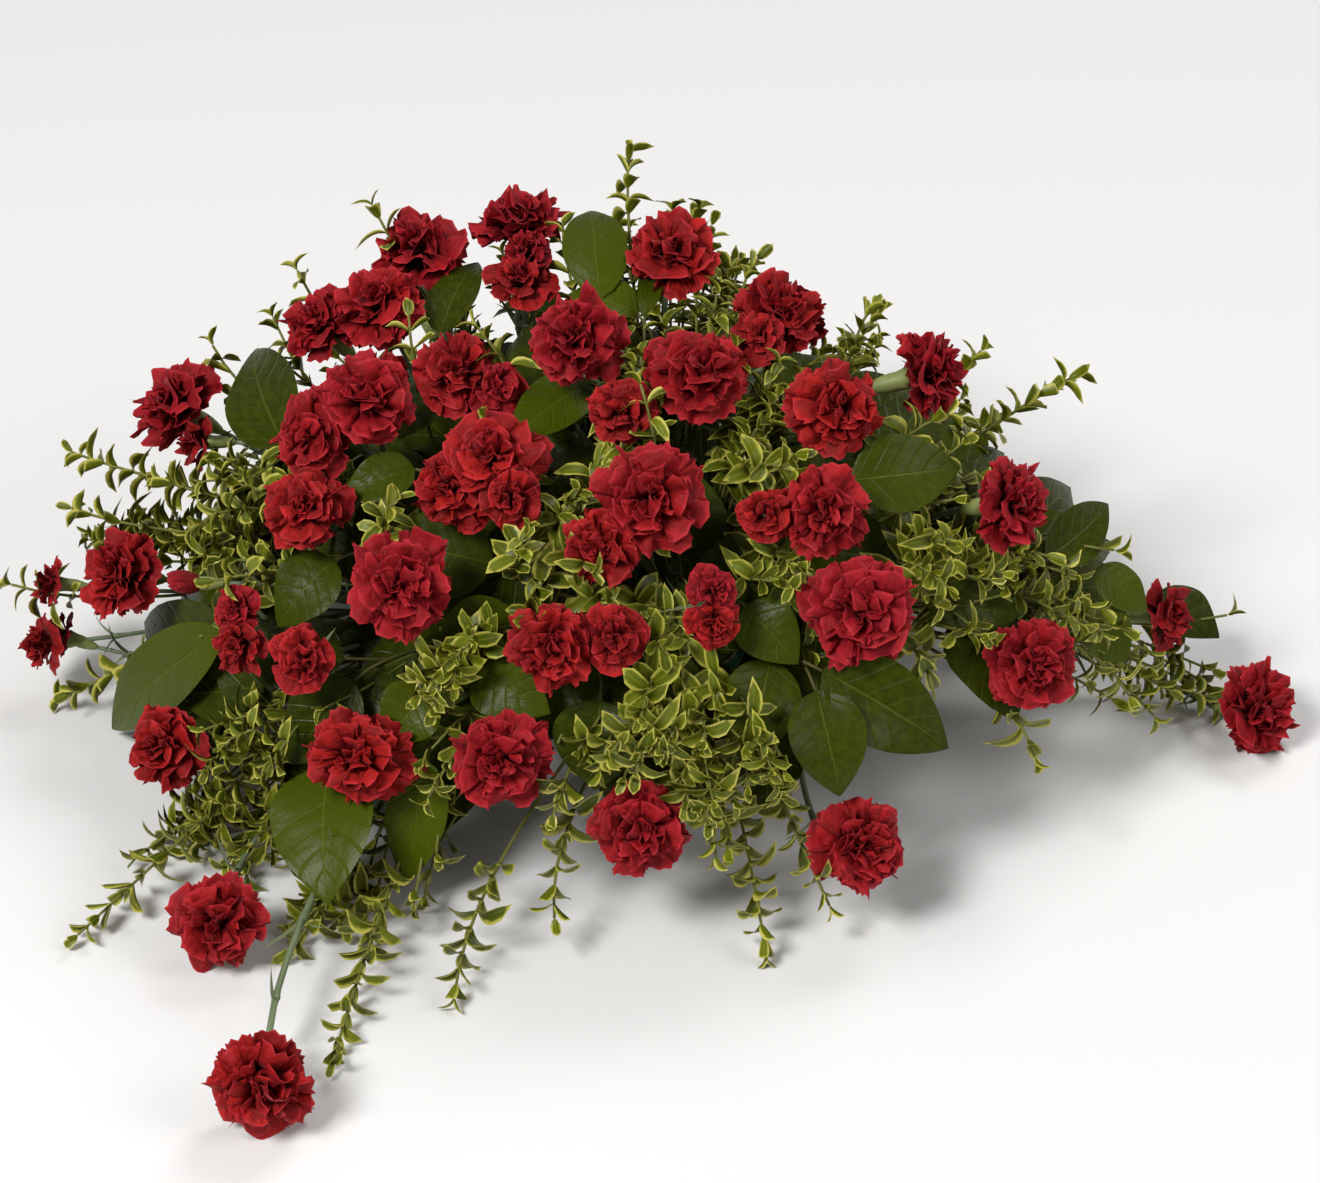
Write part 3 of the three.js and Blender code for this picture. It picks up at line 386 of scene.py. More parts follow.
def blades(sheets, thickness, tones, finish=0):
    """Closed thin bodies from sheets of points, (count, rows, columns, 3).

    Both faces stand half the thickness off the sheet along its normal, columns by rows, and meet in
    its border.
    """
    count, rows, columns, _ = sheets.shape
    normal = unit(np.cross(np.gradient(sheets, axis=2), np.gradient(sheets, axis=1)))
    border = np.ones((rows, columns), bool)
    border[1:-1, 1:-1] = False
    half = np.where(border, 0, thickness / 2)[None, ..., None] * normal
    each = rows * columns
    front = np.arange(each).reshape(rows, columns)
    back = front.copy()
    back[~border] = each + np.arange(each - border.sum())
    faces = np.concatenate([grid_faces(front), grid_faces(back)[:, ::-1]])
    total = each + (~border).sum()
    upper = (sheets + half).reshape(count, each, 3)
    points = np.concatenate([upper, (sheets - half)[:, ~border]], axis=1)
    place = np.stack(np.meshgrid(np.linspace(0, 1, columns), np.linspace(0, 1, rows)), axis=-1)
    place = np.concatenate([place.reshape(each, 2), place[~border]])
    rim = np.concatenate([border.ravel(), np.zeros(total - each, bool)])
    return {
        "points": points.reshape(-1, 3),
        "faces": (faces[None] + total * np.arange(count)[:, None, None]).reshape(-1, 4),
        "place": np.tile(place, (count, 1)),
        "tone": np.repeat(tones, total, axis=0),
        "rim": np.tile(rim, count),
        "finish": finish,
    }


def random_tones(draw, count, second):
    """A tone for each of several petals or leaves: a random part, a given one and none."""
    return np.stack([draw.uniform(0, 1, count), np.full(count, second), np.zeros(count)], axis=-1)


def show(name, node, bodies, materials):
    """One piece made of several bodies, in metres, standing for a CAD node."""
    starts = np.cumsum([0] + [len(body["points"]) for body in bodies])
    faces = np.concatenate([body["faces"] + start for body, start in zip(bodies, starts)])
    finish = np.concatenate([np.full(len(body["faces"]), body["finish"]) for body in bodies])
    points, place, tone, rim = (
        np.concatenate([body[key] for body in bodies]) for key in ("points", "place", "tone", "rim")
    )
    piece_mesh = bpy.data.meshes.new(name)
    piece_mesh.from_pydata((points * MM).tolist(), [], faces.tolist())
    corner = np.empty(len(piece_mesh.loops), np.int32)
    piece_mesh.loops.foreach_get("vertex_index", corner)
    piece_mesh.uv_layers.new(name="place").data.foreach_set("uv", place[corner].ravel())
    tone_layer = piece_mesh.color_attributes.new("tone", "FLOAT_COLOR", "POINT")
    tone_layer.data.foreach_set("color", np.insert(tone, 3, 1, axis=1).ravel())
    ends = np.empty(2 * len(piece_mesh.edges), np.int32)
    piece_mesh.edges.foreach_get("vertices", ends)
    piece_mesh.edges.foreach_set("use_edge_sharp", rim[ends.reshape(-1, 2)].all(axis=1))
    piece_mesh.polygons.foreach_set("material_index", finish)
    piece_mesh.polygons.foreach_set("use_smooth", np.ones(len(faces), bool))
    for material in materials:
        piece_mesh.materials.append(material)
    piece = bpy.data.objects.new(name, piece_mesh)
    bpy.context.scene.collection.objects.link(piece)
    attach(piece, "root")
    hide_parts(node)


def new_group(name, inputs, outputs):
    """An empty shader node group with number and colour sockets, and its input and output nodes."""
    group = bpy.data.node_groups.new(name, "ShaderNodeTree")
    for kind, sockets in (("INPUT", inputs), ("OUTPUT", outputs)):
        for label, value in sockets.items():
            colour = isinstance(value, tuple)
            socket_type = "NodeSocketColor" if colour else "NodeSocketFloat"
            socket = group.interface.new_socket(label, in_out=kind, socket_type=socket_type)
            socket.default_value = (*value, 1) if colour else value
    return group, group.nodes.new("NodeGroupInput"), group.nodes.new("NodeGroupOutput")


def feed(tree, socket, value):
    """An input linked to a socket, or set to a number or a colour."""
    if isinstance(value, bpy.types.NodeSocket):
        tree.links.new(value, socket)
    else:
        socket.default_value = (*value, 1) if isinstance(value, tuple) else value


def wire(tree, kind, settings, *values, **named):
    """A new node with its settings. Sockets or values feed its inputs in order, or by name."""
    node = tree.nodes.new(kind)
    for key, value in settings.items():
        setattr(node, key, value)
    for socket, value in zip(node.inputs, values):
        feed(tree, socket, value)
    for key, value in named.items():
        feed(tree, node.inputs[key], value)
    return node


def combine(tree, operation, *values):
    """The socket of one sum done on sockets or values."""
    return wire(tree, "ShaderNodeMath", {"operation": operation}, *values).outputs[0]


def place_parts(tree):
    """The sockets of a piece's place map: how far across it, and how far along it."""
    place_map = wire(tree, "ShaderNodeUVMap", {"uv_map": "place"})
    return wire(tree, "ShaderNodeSeparateXYZ", {}, place_map.outputs[0]).outputs[:2]


# Fine streaks run along each petal, leaf and stem: noise stretched along the second part of place.
streaks, streaks_in, streaks_out = new_group(
    "fine_streaks", {"Across": 30.0, "Along": 2.0, "Shift": 0.0}, {"Value": 0.0}
)
part_across, part_along = place_parts(streaks)
wide = combine(streaks, "MULTIPLY", part_across, streaks_in.outputs["Across"])
long = combine(streaks, "MULTIPLY", part_along, streaks_in.outputs["Along"])
spot = wire(streaks, "ShaderNodeCombineXYZ", {}, wide, long, streaks_in.outputs["Shift"])
grain = wire(streaks, "ShaderNodeTexNoise", {}, Vector=spot.outputs[0], Scale=1.0, Detail=2.0)
feed(streaks, streaks_out.inputs["Value"], grain.outputs["Fac"])


def add_streaks(tree, across, along, shift):
    """The socket of the fine streaks in a material, with its own counts across and along."""
    return wire(
        tree, "ShaderNodeGroup", {"node_tree": streaks}, Across=across, Along=along, Shift=shift
    ).outputs[0]


def mix_colour(tree, share, first, second):
    """The socket of a colour mixed from two colours by a share."""
    node = wire(tree, "ShaderNodeMix", {"data_type": "RGBA"}, share)
    feed(tree, node.inputs[6], first)
    feed(tree, node.inputs[7], second)
    return node.outputs[2]


def spread_to(tree, value, low, high, first=0.0, last=1.0):
    """The socket of a value carried smoothly from low..high to first..last."""
    smooth = {"interpolation_type": "SMOOTHSTEP"}
    return wire(tree, "ShaderNodeMapRange", smooth, value, low, high, first, last).outputs[0]


def new_finish(name, roughness, specular):
    """A material, its tree and its Principled shader."""
    material = bpy.data.materials.new(name)
    material.use_nodes = True
    shader = material.node_tree.nodes["Principled BSDF"]
    shader.inputs["Roughness"].default_value = roughness
    shader.inputs["Specular IOR Level"].default_value = specular
    return material, material.node_tree, shader


def tone_parts(tree):
    """The three sockets of the tone that each petal, leaf or stem has."""
    tone = wire(tree, "ShaderNodeAttribute", {"attribute_name": "tone"})
    return wire(tree, "ShaderNodeSeparateColor", {}, tone.outputs["Color"]).outputs


def dress(tree, shader, hue, height, distance, strength):
    """A shader given its colour, and a bump that is at most that distance deep, in metres."""
    feed(tree, shader.inputs["Base Color"], hue)
    bump = wire(tree, "ShaderNodeBump", {}, Height=height, Distance=distance, Strength=strength)
    feed(tree, shader.inputs["Normal"], bump.outputs[0])


# Petals have faint veins, painted shade in folds and at the foot, and a painted highlight on the edge.
petal_red, tree, shader = new_finish("petal_red", 0.65, 0.16)
shader.inputs["Sheen Weight"].default_value = 0.1
shader.inputs["Sheen Roughness"].default_value = 0.4
shader.inputs["Sheen Tint"].default_value = (1.0, 0.25, 0.3, 1)
tone = tone_parts(tree)
part_across, part_along = place_parts(tree)
vein = add_streaks(tree, 26.0, 2.2, tone[0])
crease_and_shade = add_streaks(tree, 7.0, 3.6, tone[0])
foot_shade = spread_to(tree, part_along, 0.3, 0.95, 0.85, 0.0)
edge_highlight = spread_to(tree, part_along, 0.93, 1.0, 0.0, 0.5)
hue = mix_colour(tree, tone[0], (0.235, 0.006, 0.006), (0.45, 0.012, 0.01))
hue = mix_colour(tree, tone[1], hue, (0.34, 0.008, 0.017))
# Painted shade at the petal's foot, deep inside the head.
hue = mix_colour(tree, foot_shade, hue, (0.09, 0.002, 0.002))
hue = mix_colour(tree, spread_to(tree, vein, 0.35, 0.7, 0.0, 0.2), hue, (0.16, 0.003, 0.003))
# Painted shade in the petal's folds; the same noise also raises the fold bump below.
hue = mix_colour(tree, spread_to(tree, crease_and_shade, 0.64, 0.36, 0.0, 0.65), hue, (0.14, 0.002, 0.003))
# A painted highlight along the petal's edge, where the light catches it.
hue = mix_colour(tree, edge_highlight, hue, (0.55, 0.03, 0.04))
dress(tree, shader, hue, combine(tree, "MULTIPLY_ADD", vein, 0.07, crease_and_shade), 0.006, 0.7)


def make_head(head, heads, draw):
    """One head's petals, turned to its facing, and pressed by its neighbours and the floor."""
    face = head["face"]
    side = unit(np.cross([0, 0, 1], face))
    rise = np.cross(face, side)
    pinkness = draw.uniform(0, 1) ** 2
    bodies = []
    layers = SMALL_LAYERS if head["small"] else LAYERS
    if head["radius"] < BUD_HEAD / 2:
        layers = BUD_LAYERS
    oval = np.append(draw.uniform(0.88, 1.06, 2), 1)
    for layer in layers:
        sheets = petal_layer(layer, draw) * oval
        points = head["neck"] + head["radius"] * (sheets @ np.stack([side, rise, face]))
        for other in heads:
            way = other["middle"] - head["middle"]
            gap = np.linalg.norm(way)
            most = gap * head["radius"] / (head["radius"] + other["radius"]) - CLEAR
            if other is head or most > PRESS_REACH * head["radius"]:
                continue
            way = way / gap
            over = (points - head["middle"]) @ way - most
            points = points - PRESS * np.maximum(over, 0)[..., None] * way
        points[..., 2] = np.maximum(points[..., 2], LIE)
        bodies.append(blades(points, PETAL_THICKNESS, random_tones(draw, len(points), pinkness)))
    return bodies


heads = list_heads()
for number, node in enumerate(dict.fromkeys(head["node"] for head in heads)):
    draw = np.random.default_rng(HEAD_SEED + number)
    bodies = [body for head in heads if head["node"] == node for body in make_head(head, heads, draw)]
    show(node.replace("bloom", "petals"), node, bodies, [petal_red])

# Carnation stems
# Thin blue-green stems, swollen at their joints, where narrow leaves stand in pairs and curl back.
# Each ends in the tubular calyx that holds its head. All are pushed into the foam in four bunches.

# Each bunch fills its hole in the foam, stands out of it by its rise, and narrows to its neck.
BRICK_TOP = 80.35
BUNCH_RADIUS = 8.0
BUNCH_DEPTH = 44
BUNCH_RISE = 12.0
BUNCH_NECK = 6.5
BUNCH_SIDES = 12
# The middle of each bunch's hole: to the right, and back.
SOCKETS = {
    "carnation_stems_left": (-104, -8),
    "carnation_stems_right": (104, -8),
    "carnation_stems_front": (0, -40),
    "carnation_stems_crown": (0, 22),
    "salal_left": (-76, -38),
    "salal_right": (76, -38),
    "salal_back": (-30, 42),
    "boxwood_left": (-80, 32),
    "boxwood_right": (80, 32),
    "boxwood_front": (32, -34),
    "boxwood_crown": (30, 4),
}
# Stems further back or higher than these stand in the crown bunch, and the others left and right of
# these in the side ones.
STEM_BACK = 60
STEM_HIGH = 190
STEM_LEFT = -150
STEM_RIGHT = 120
# A stem's curve has handles that are shares of its length: ahead and outwards where it leaves its
# bunch, and back from the head where it arrives. Both are at least this high.
LEAVE_AHEAD = 0.12
LEAVE_OUT = 0.2
STEM_ARRIVAL = 0.32
LOWEST = 6
STEM_RADIUS = 2.2
STEM_STEPS = 14
STEM_SIDES = 8
# A spray carnation's stem is thinner and its calyx smaller by these shares.
SMALL_STEM = 0.75
SMALL_CALYX = 0.72
# Joints come this far apart, from a first one this far under the calyx to one this far above the foam.
STEM_JOINT = 78.0
FIRST_JOINT = 34
LAST_JOINT = 40
# A joint swells by this share of the stem, fades over this length, and has rings at these places.
JOINT_SWELL = 0.4
JOINT_FADE = 2.6
JOINT_RINGS = np.array([-7, -2.5, 0, 2.5, 7])
STEM_LEAF_LENGTHS = (26, 52)
STEM_LEAF_WIDTHS = (3, 4.4)
STEM_LEAF_CURLS = (0.1, 0.7)
STEM_LEAF_SPREAD = 0.75
STEM_LEAF_THICKNESS = 0.6
STEM_LEAF_GRID = (8, 3)
# Along the calyx and its girth, in shares of its length and its radius.
CALYX_SHAPE = np.array([
    (0, 0.34), (0.06, 0.5), (0.16, 0.62), (0.3, 0.78), (0.5, 0.94), (0.7, 1.0), (0.86, 0.98),
    (1.0, 1.06), (1.12, 1.2),
])
CALYX_TEETH = 5
CALYX_TOOTH = 3.0
CALYX_SIDES = 20
# Every tube starts from this one side.
TUBE_SIDE = (0.31, 0.22, 0.92)
STEM_SEED = 7


def stem_route(node, end, arriving, handle):
    """The four points of a cubic from a bunch's hole to a stem's end, arriving along a direction."""
    x, y = SOCKETS[node]
    flat = unit([end[0] - x, end[1] - y, 0.0])
    start = np.array([x, y, BRICK_TOP + BUNCH_RISE / 2]) + flat * BUNCH_RADIUS / 2
    way = end - start
    length = np.linalg.norm(way)
    first = start + way * LEAVE_AHEAD + flat * length * LEAVE_OUT
    first[2] = max(first[2], start[2] + LOWEST)
    last = end - arriving * length * handle
    last[2] = max(last[2], LOWEST)
    return start, first, last, end


def travel_along(points):
    """200 shares of a cubic's way and the distance gone at each, by summing small steps."""
    share = np.linspace(0, 1, 200)
    steps = np.linalg.norm(np.diff(cubic(points, share)[0], axis=0), axis=1)
    return share, np.concatenate([[0], np.cumsum(steps)])


def walk(points, places):
    """Points and directions at distances along a cubic."""
    share, travel = travel_along(points)
    spot, slope = cubic(points, np.interp(places, travel, share))
    return spot, unit(slope)


def length_of(points):
    """The length of a cubic."""
    return travel_along(points)[1][-1]


def tube(path, way, radius, sides, tone, finish=0, teeth=None):
    """A closed skin round a path: rings of points at a radius, square to its way.

    Each ring starts from one fixed side. teeth lengthens the last ring along the way.
    """
    side = unit(np.cross(way, TUBE_SIDE))
    rise = np.cross(way, side)
    angle = np.linspace(0, 2 * np.pi, sides, endpoint=False)[None, :, None]
    radius = np.broadcast_to(radius, (len(path), sides))[..., None]
    rings = path[:, None] + radius * (np.cos(angle) * side[:, None] + np.sin(angle) * rise[:, None])
    if teeth is not None:
        rings[-1] += teeth[:, None] * way[-1]
    caps = np.broadcast_to(path[[0, -1], None], (2, sides, 3))
    rings = np.concatenate([caps[:1], rings, caps[1:]])
    count = len(rings)
    index = np.arange(count * sides).reshape(count, sides)
    place = np.stack(np.meshgrid(np.arange(sides) / sides, np.linspace(0, 1, count)), axis=-1)
    return {
        "points": rings.reshape(-1, 3),
        "faces": grid_faces(index, wrap=True),
        "place": place.reshape(-1, 2),
        "tone": np.broadcast_to(tone, (count * sides, 3)),
        "rim": np.zeros(count * sides, bool),
        "finish": finish,
    }


def spread(values, directions):
    """Each leaf's grid of values, carried along its own direction."""
    return values[..., None] * directions[:, None, None]


def strips(roots, ways, ups, length, width, curl):
    """Narrow blades as sheets: straight out from the root, curling back by the square of the way.

    The width is full by a fifth of the way and then tapers to the point.
    """
    along, across = sheet_grid(*STEM_LEAF_GRID)
    side = np.cross(ways, ups)
    half = width[:, None, None] / 2 * np.minimum(0.5 + 2.5 * along, 1) * (1 - along**2) ** 0.8
    far = length[:, None, None] * along
    drop = curl[:, None, None] * far * along + 0.25 * half * (1 - across**2)
    return roots[:, None, None] + spread(far, ways) + spread(half * across, side) - spread(drop, ups)


def stem_node(head):
    """The bunch that a head's stem stands in."""
    x, y, z = head["middle"]
    if y > STEM_BACK:
        return "carnation_stems_crown"
    if x < STEM_LEFT:
        return "carnation_stems_left"
    if x > STEM_RIGHT:
        return "carnation_stems_right"
    return "carnation_stems_crown" if z > STEM_HIGH else "carnation_stems_front"


def make_stem(head, draw):
    """A head's stem, its calyx and the narrow leaves at its joints."""
    size = SMALL_CALYX if head["small"] else 1.0
    radius = STEM_RADIUS * (SMALL_STEM if head["small"] else 1)
    face = head["face"]
    end = head["neck"] - face * CALYX_LENGTH * size
    points = stem_route(stem_node(head), end, face, STEM_ARRIVAL)
    length = length_of(points)
    joints = np.arange(length - FIRST_JOINT * size, LAST_JOINT, -STEM_JOINT * draw.uniform(0.85, 1.1))
    near = (joints[:, None] + JOINT_RINGS).ravel().clip(0, length)
    places = np.unique(np.concatenate([np.linspace(0, length, STEM_STEPS), near]))
    path, way = walk(points, places)
    from_joint = (places[:, None] - joints[None]) / JOINT_FADE
    swell = JOINT_SWELL * np.exp(-(from_joint**2)).sum(axis=1)
    tone = (draw.uniform(0, 1), 0, 0)
    bodies = [tube(path, way, (radius * (1 + swell))[:, None], STEM_SIDES, tone)]
    share, girth = CALYX_SHAPE.T
    calyx = end + face * (share * CALYX_LENGTH * size)[:, None]
    ways = np.broadcast_to(face, calyx.shape)
    girth = (girth * CALYX_RADIUS * size)[:, None]
    angle = np.linspace(0, 2 * np.pi, CALYX_SIDES, endpoint=False)
    teeth = CALYX_TOOTH * size * np.abs(np.cos(CALYX_TEETH / 2 * angle))
    bodies.append(tube(calyx, ways, girth, CALYX_SIDES, (tone[0], 1, 0), teeth=teeth))
    if len(joints):
        spots, slopes = walk(points, joints)
        out = unit(np.cross(slopes, draw.normal(size=(len(joints), 3))))
        roots = np.concatenate([spots, spots])
        out = np.concatenate([out, -out])
        ahead = np.concatenate([slopes, slopes])
        leaning = unit(out * STEM_LEAF_SPREAD + ahead)
        ups = unit(ahead - leaning * (ahead * leaning).sum(axis=1, keepdims=True))
        count = len(roots)
        length = draw.uniform(*STEM_LEAF_LENGTHS, count) * size
        width = draw.uniform(*STEM_LEAF_WIDTHS, count)
        curl = draw.uniform(*STEM_LEAF_CURLS, count)
        leaf = strips(roots, leaning, ups, length, width, curl)
        leaf[..., 2] = np.maximum(leaf[..., 2], LIE)
        bodies.append(blades(leaf, STEM_LEAF_THICKNESS, np.tile((tone[0], 0.3, 0), (count, 1))))
    return bodies


# Stems are streaked along their length, and calyces are paler.
stem_green, tree, shader = new_finish("stem_green", 0.5, 0.4)
tone = tone_parts(tree)
grainy = add_streaks(tree, 5.0, 18.0, tone[0])
hue = mix_colour(tree, tone[0], (0.1, 0.135, 0.075), (0.16, 0.2, 0.1))
hue = mix_colour(tree, spread_to(tree, grainy, 0.3, 0.7, 0.0, 0.5), hue, (0.07, 0.09, 0.045))
paler = mix_colour(tree, grainy, (0.3, 0.33, 0.11), (0.19, 0.23, 0.065))
hue = mix_colour(tree, tone[1], hue, paler)
dress(tree, shader, hue, grainy, 0.0004, 0.4)

draw = np.random.default_rng(STEM_SEED)
stems = {}
for head in heads:
    stems.setdefault(stem_node(head), []).extend(make_stem(head, draw))
for node, bodies in stems.items():
    x, y = SOCKETS[node]
    levels = (BRICK_TOP - BUNCH_DEPTH, BRICK_TOP, BRICK_TOP + BUNCH_RISE)
    bunch = np.array([[x, y, z] for z in levels])
    up = np.tile([0.0, 0.0, 1.0], (3, 1))
    girth = np.array([[BUNCH_RADIUS], [BUNCH_RADIUS], [BUNCH_NECK]])
    bodies.append(tube(bunch, up, girth, BUNCH_SIDES, (0.5, 0, 0)))
    show(node.replace("carnation_stems", "flower_stems"), node, bodies, [stem_green])

# Salal leaves
# Broad leathery leaves on short woody stalks, dark and glossy above, with a pale midrib and arched side
# veins. They are set low, between and under the heads, and some lie out over the floor.

# Across and up of the leaf's base, then of its tip, its width, how far it lies under the dome, and how
# far it is held up off the surface.
SALAL_LEAVES = [
    (-270, 105, -297, 170, 58, 10, 0), (-158, 185, -131, 237, 36, 20, 0),
    (-43, 210, -50, 274, 46, 10, 0), (-16, 200, -66, 214, 38, 20, 0), (-11, 196, 0, 237, 18, 16, 0),
    (-176, 88, -230, 70, 34, 20, 0), (-52, 150, -112, 108, 42, 30, 0),
    (137, 80, 217, 84, 54, 10, 0), (277, 23, 325, 59, 38, 0, 0), (313, 15, 350, -15, 32, 0, 0),
    (353, -6, 402, -35, 46, 10, 0), (191, -6, 259, -20, 36, 20, 0), (117, -57, 210, -109, 58, 0, 0),
    (112, -71, 128, -148, 52, 0, 0), (61, -10, 99, -53, 42, 20, 0), (79, -49, 61, -125, 52, 20, 0),
    (-315, -29, -395, -98, 52, 10, 0), (-238, -125, -243, -226, 74, 10, 40),
    (-169, -121, -178, -211, 42, 20, 0), (-133, -53, -80, -90, 46, 20, 0),
    (-220, -64, -266, -125, 52, 30, 0), (-234, 23, -277, -24, 46, 20, 0),
    (-43, -78, -50, -143, 58, 20, 0), (306, -13, 338, -49, 42, 10, 0),
    (-166, -71, -198, -107, 44, 20, 0), (-158, 145, -187, 109, 42, 30, 0),
    (20, 120, 45, 190, 60, 55, 0), (70, 110, 130, 165, 60, 55, 0), (-60, 120, -95, 195, 60, 55, 0),
    (-110, 110, -170, 170, 60, 55, 0), (-120, 20, -200, 35, 62, 55, 0),
    (-100, -20, -165, -60, 62, 50, 0), (-50, -30, -90, -100, 60, 50, 0),
    (0, -40, -5, -120, 62, 45, 0), (90, -20, 160, -70, 62, 50, 0), (90, 30, 180, 20, 62, 55, 0),
    (60, 60, 130, 90, 60, 60, 0), (-30, 60, -100, 40, 60, 60, 0),
]
# On the far side: bearing, pitch, length and width.
FAR_SALAL = [
    (200, 6, 100, 62), (168, 4, 104, 64), (250, 4, 96, 58), (128, 8, 98, 60), (205, 34, 92, 56),
    (160, 40, 90, 54), (124, 20, 88, 52),
]
# Leaves set deep between the stems, which close the view of the foam: across and up of the middle of
# each patch, its half width and half height, the leaves in it, and how far they lie under the dome.
DEEP_SALAL = [
    (-20, 60, 190, 110, 30, 80), (-230, 30, 110, 90, 16, 60), (150, 60, 130, 70, 16, 70),
    (-130, 160, 120, 50, 12, 75), (-90, -80, 170, 40, 14, 50), (40, -30, 80, 40, 9, 60),
    (225, 22, 60, 26, 6, 40), (215, -30, 26, 12, 3, 20), (-262, -66, 42, 30, 9, 34),
    (-190, -100, 40, 30, 6, 24), (-296, 8, 26, 26, 5, 66),
]
DEEP_LENGTHS = (60, 90)
DEEP_WIDTHS = (46, 64)
# The share of a leaf's length that it arches by, and of its half width that its edges rise by, how
# far it swells between its side veins, how many they are, and how much of its length they slant by.
SALAL_ARCH = 0.1
SALAL_FOLD = 0.2
SALAL_RIB = 0.45
SALAL_VEINS = 6.5
SALAL_SLANT = 0.22
SALAL_THICKNESS = 0.9
SALAL_GRID = (25, 15)
# Stalks have these rings and sides, and those of deep leaves fewer.
STALK_GRID = (16, 7)
DEEP_STALK_GRID = (8, 5)
STALK_RADII = (1.8, 1.1)
STALK_ARRIVAL = 0.22
# Leaves further back than this stand in the back bunch.
SALAL_BACK = 50
# A leaf's base lies this much deeper than its tip, and both are at least this high.
BASE_DEEPER = 12
BASE_LOW = 14
TIP_LOW = 8
FAR_BASE_LOW = 24
FAR_TIP_LOW = 6
# The same for deep leaves. They keep within a share of the dome's outline, and their depth, their lean
# in the front view and the way that they face vary.
DEEP_BASE_DEEPER = 24
DEEP_BASE_LOW = 20
DEEP_TIP_LOW = 14
DEEP_WITHIN = 0.96
DEEP_VARIES = (-14, 22)
DEEP_LEAN_VARIES = 90
DEEP_FACE_VARIES = 0.3
# Deep leaves have fewer points, and keep this far from the others.
DEEP_GRID = (10, 7)
DEEP_CLEAR = 6.0
SALAL_SEED = 11


def within(spot, under):
    """A place in the front view, drawn in to the outline of the dome shrunk by under."""
    middle = -VIEW_MIDDLE @ np.stack([VIEW_RIGHT, VIEW_UP], axis=1)
    size = DOME - under
    halves = np.array([size[0], np.hypot(VIEW_UP[1] * size[1], VIEW_UP[2] * size[2])])
    way = (spot - middle) / halves
    return middle + halves * way * min(1, DEEP_WITHIN / np.linalg.norm(way))


def salal_blade(base, tip, up, width, draw, grid=SALAL_GRID):
    """A leaf as a sheet. Half its width is the way from the base to a power times the way to the tip
    to a power, its edges are raised and waved, and it arches along its length."""
    rows, columns = grid
    along = np.linspace(0, 1, rows)[:, None]
    across = np.linspace(-1, 1, columns)[None]
    way = tip - base
    length = np.linalg.norm(way)
    side = unit(np.cross(way, up))
    rise = np.cross(side, way) / length
    full = along**0.58 * (1 - along) ** 0.95
    half = width / 2 * full / full.max()
    wave = 0.05 * np.sin(2 * np.pi * (1.7 * along + draw.uniform(0, 1)) + across) * across**2
    raised = SALAL_FOLD * draw.uniform(0.5, 1.2) * np.abs(across) ** 1.4 + wave
    vein = np.sin(np.pi * SALAL_VEINS * (along - SALAL_SLANT * np.abs(across)))
    ribs = SALAL_RIB * np.abs(vein) * (1 - across**2)
    arch = SALAL_ARCH * length * 4 * along * (1 - along) * draw.uniform(0.6, 1.2)
    turn = draw.uniform(-0.06, 0.06) * length * along**2
    middle = base + way * along[..., None] + side * turn[..., None]
    lift = (raised * half + ribs + arch)[..., None] * rise
    return middle + (half * across)[..., None] * side + lift


def salal_node(point):
    """The bunch that a leaf's stalk stands in."""
    if point[1] > SALAL_BACK:
        return "salal_back"
    return "salal_left" if point[0] < 0 else "salal_right"


def gap_to(points, others):
    """The distance from each point to the nearest of the others."""
    return np.linalg.norm(points[:, None] - others, axis=-1).min(axis=1)


def twig(points, radii, mesh_grid, tone):
    """A tube along a cubic, in even steps from the first radius to the last, in the twigs' finish."""
    steps, sides = mesh_grid
    path, ways = walk(points, np.linspace(0, length_of(points), steps))
    return tube(path, ways, np.linspace(*radii, steps)[:, None], sides, tone, 1)


def add_salal(leaves, base, tip, up, width, draw, grid=SALAL_GRID):
    """A leaf and its stalk, put with its bunch. A deep leaf that would cross another is left out."""
    node = salal_node(base)
    way = unit(tip - base)
    # The tone's third part marks deep leaves, which their finish darkens as painted shade.
    tones = np.array([[*draw.uniform(0, 1, 2), float(grid == DEEP_GRID)]])
    sheet = salal_blade(base, tip, up, width, draw, grid)[None]
    sheet[..., 2] = np.maximum(sheet[..., 2], LIE)
    if grid == SALAL_GRID:
        salal_places.append(sheet[0, ::2, ::2].reshape(-1, 3))
    elif gap_to(sheet.reshape(-1, 3), np.concatenate(salal_places)).min() < DEEP_CLEAR:
        return
    leaves.setdefault(node, []).append(blades(sheet, SALAL_THICKNESS, tones))
    points = stem_route(node, base, unit(way + 0.5 * outward(base)), STALK_ARRIVAL)
    mesh_grid = STALK_GRID if grid == SALAL_GRID else DEEP_STALK_GRID
    leaves[node].append(twig(points, STALK_RADII, mesh_grid, (tones[0, 0], 0, 1)))


def off_midrib(tree, part_across):
    """The socket of how far a place is from its leaf's midrib, as a share of the leaf's width."""
    return combine(tree, "ABSOLUTE", combine(tree, "SUBTRACT", part_across, 0.5))


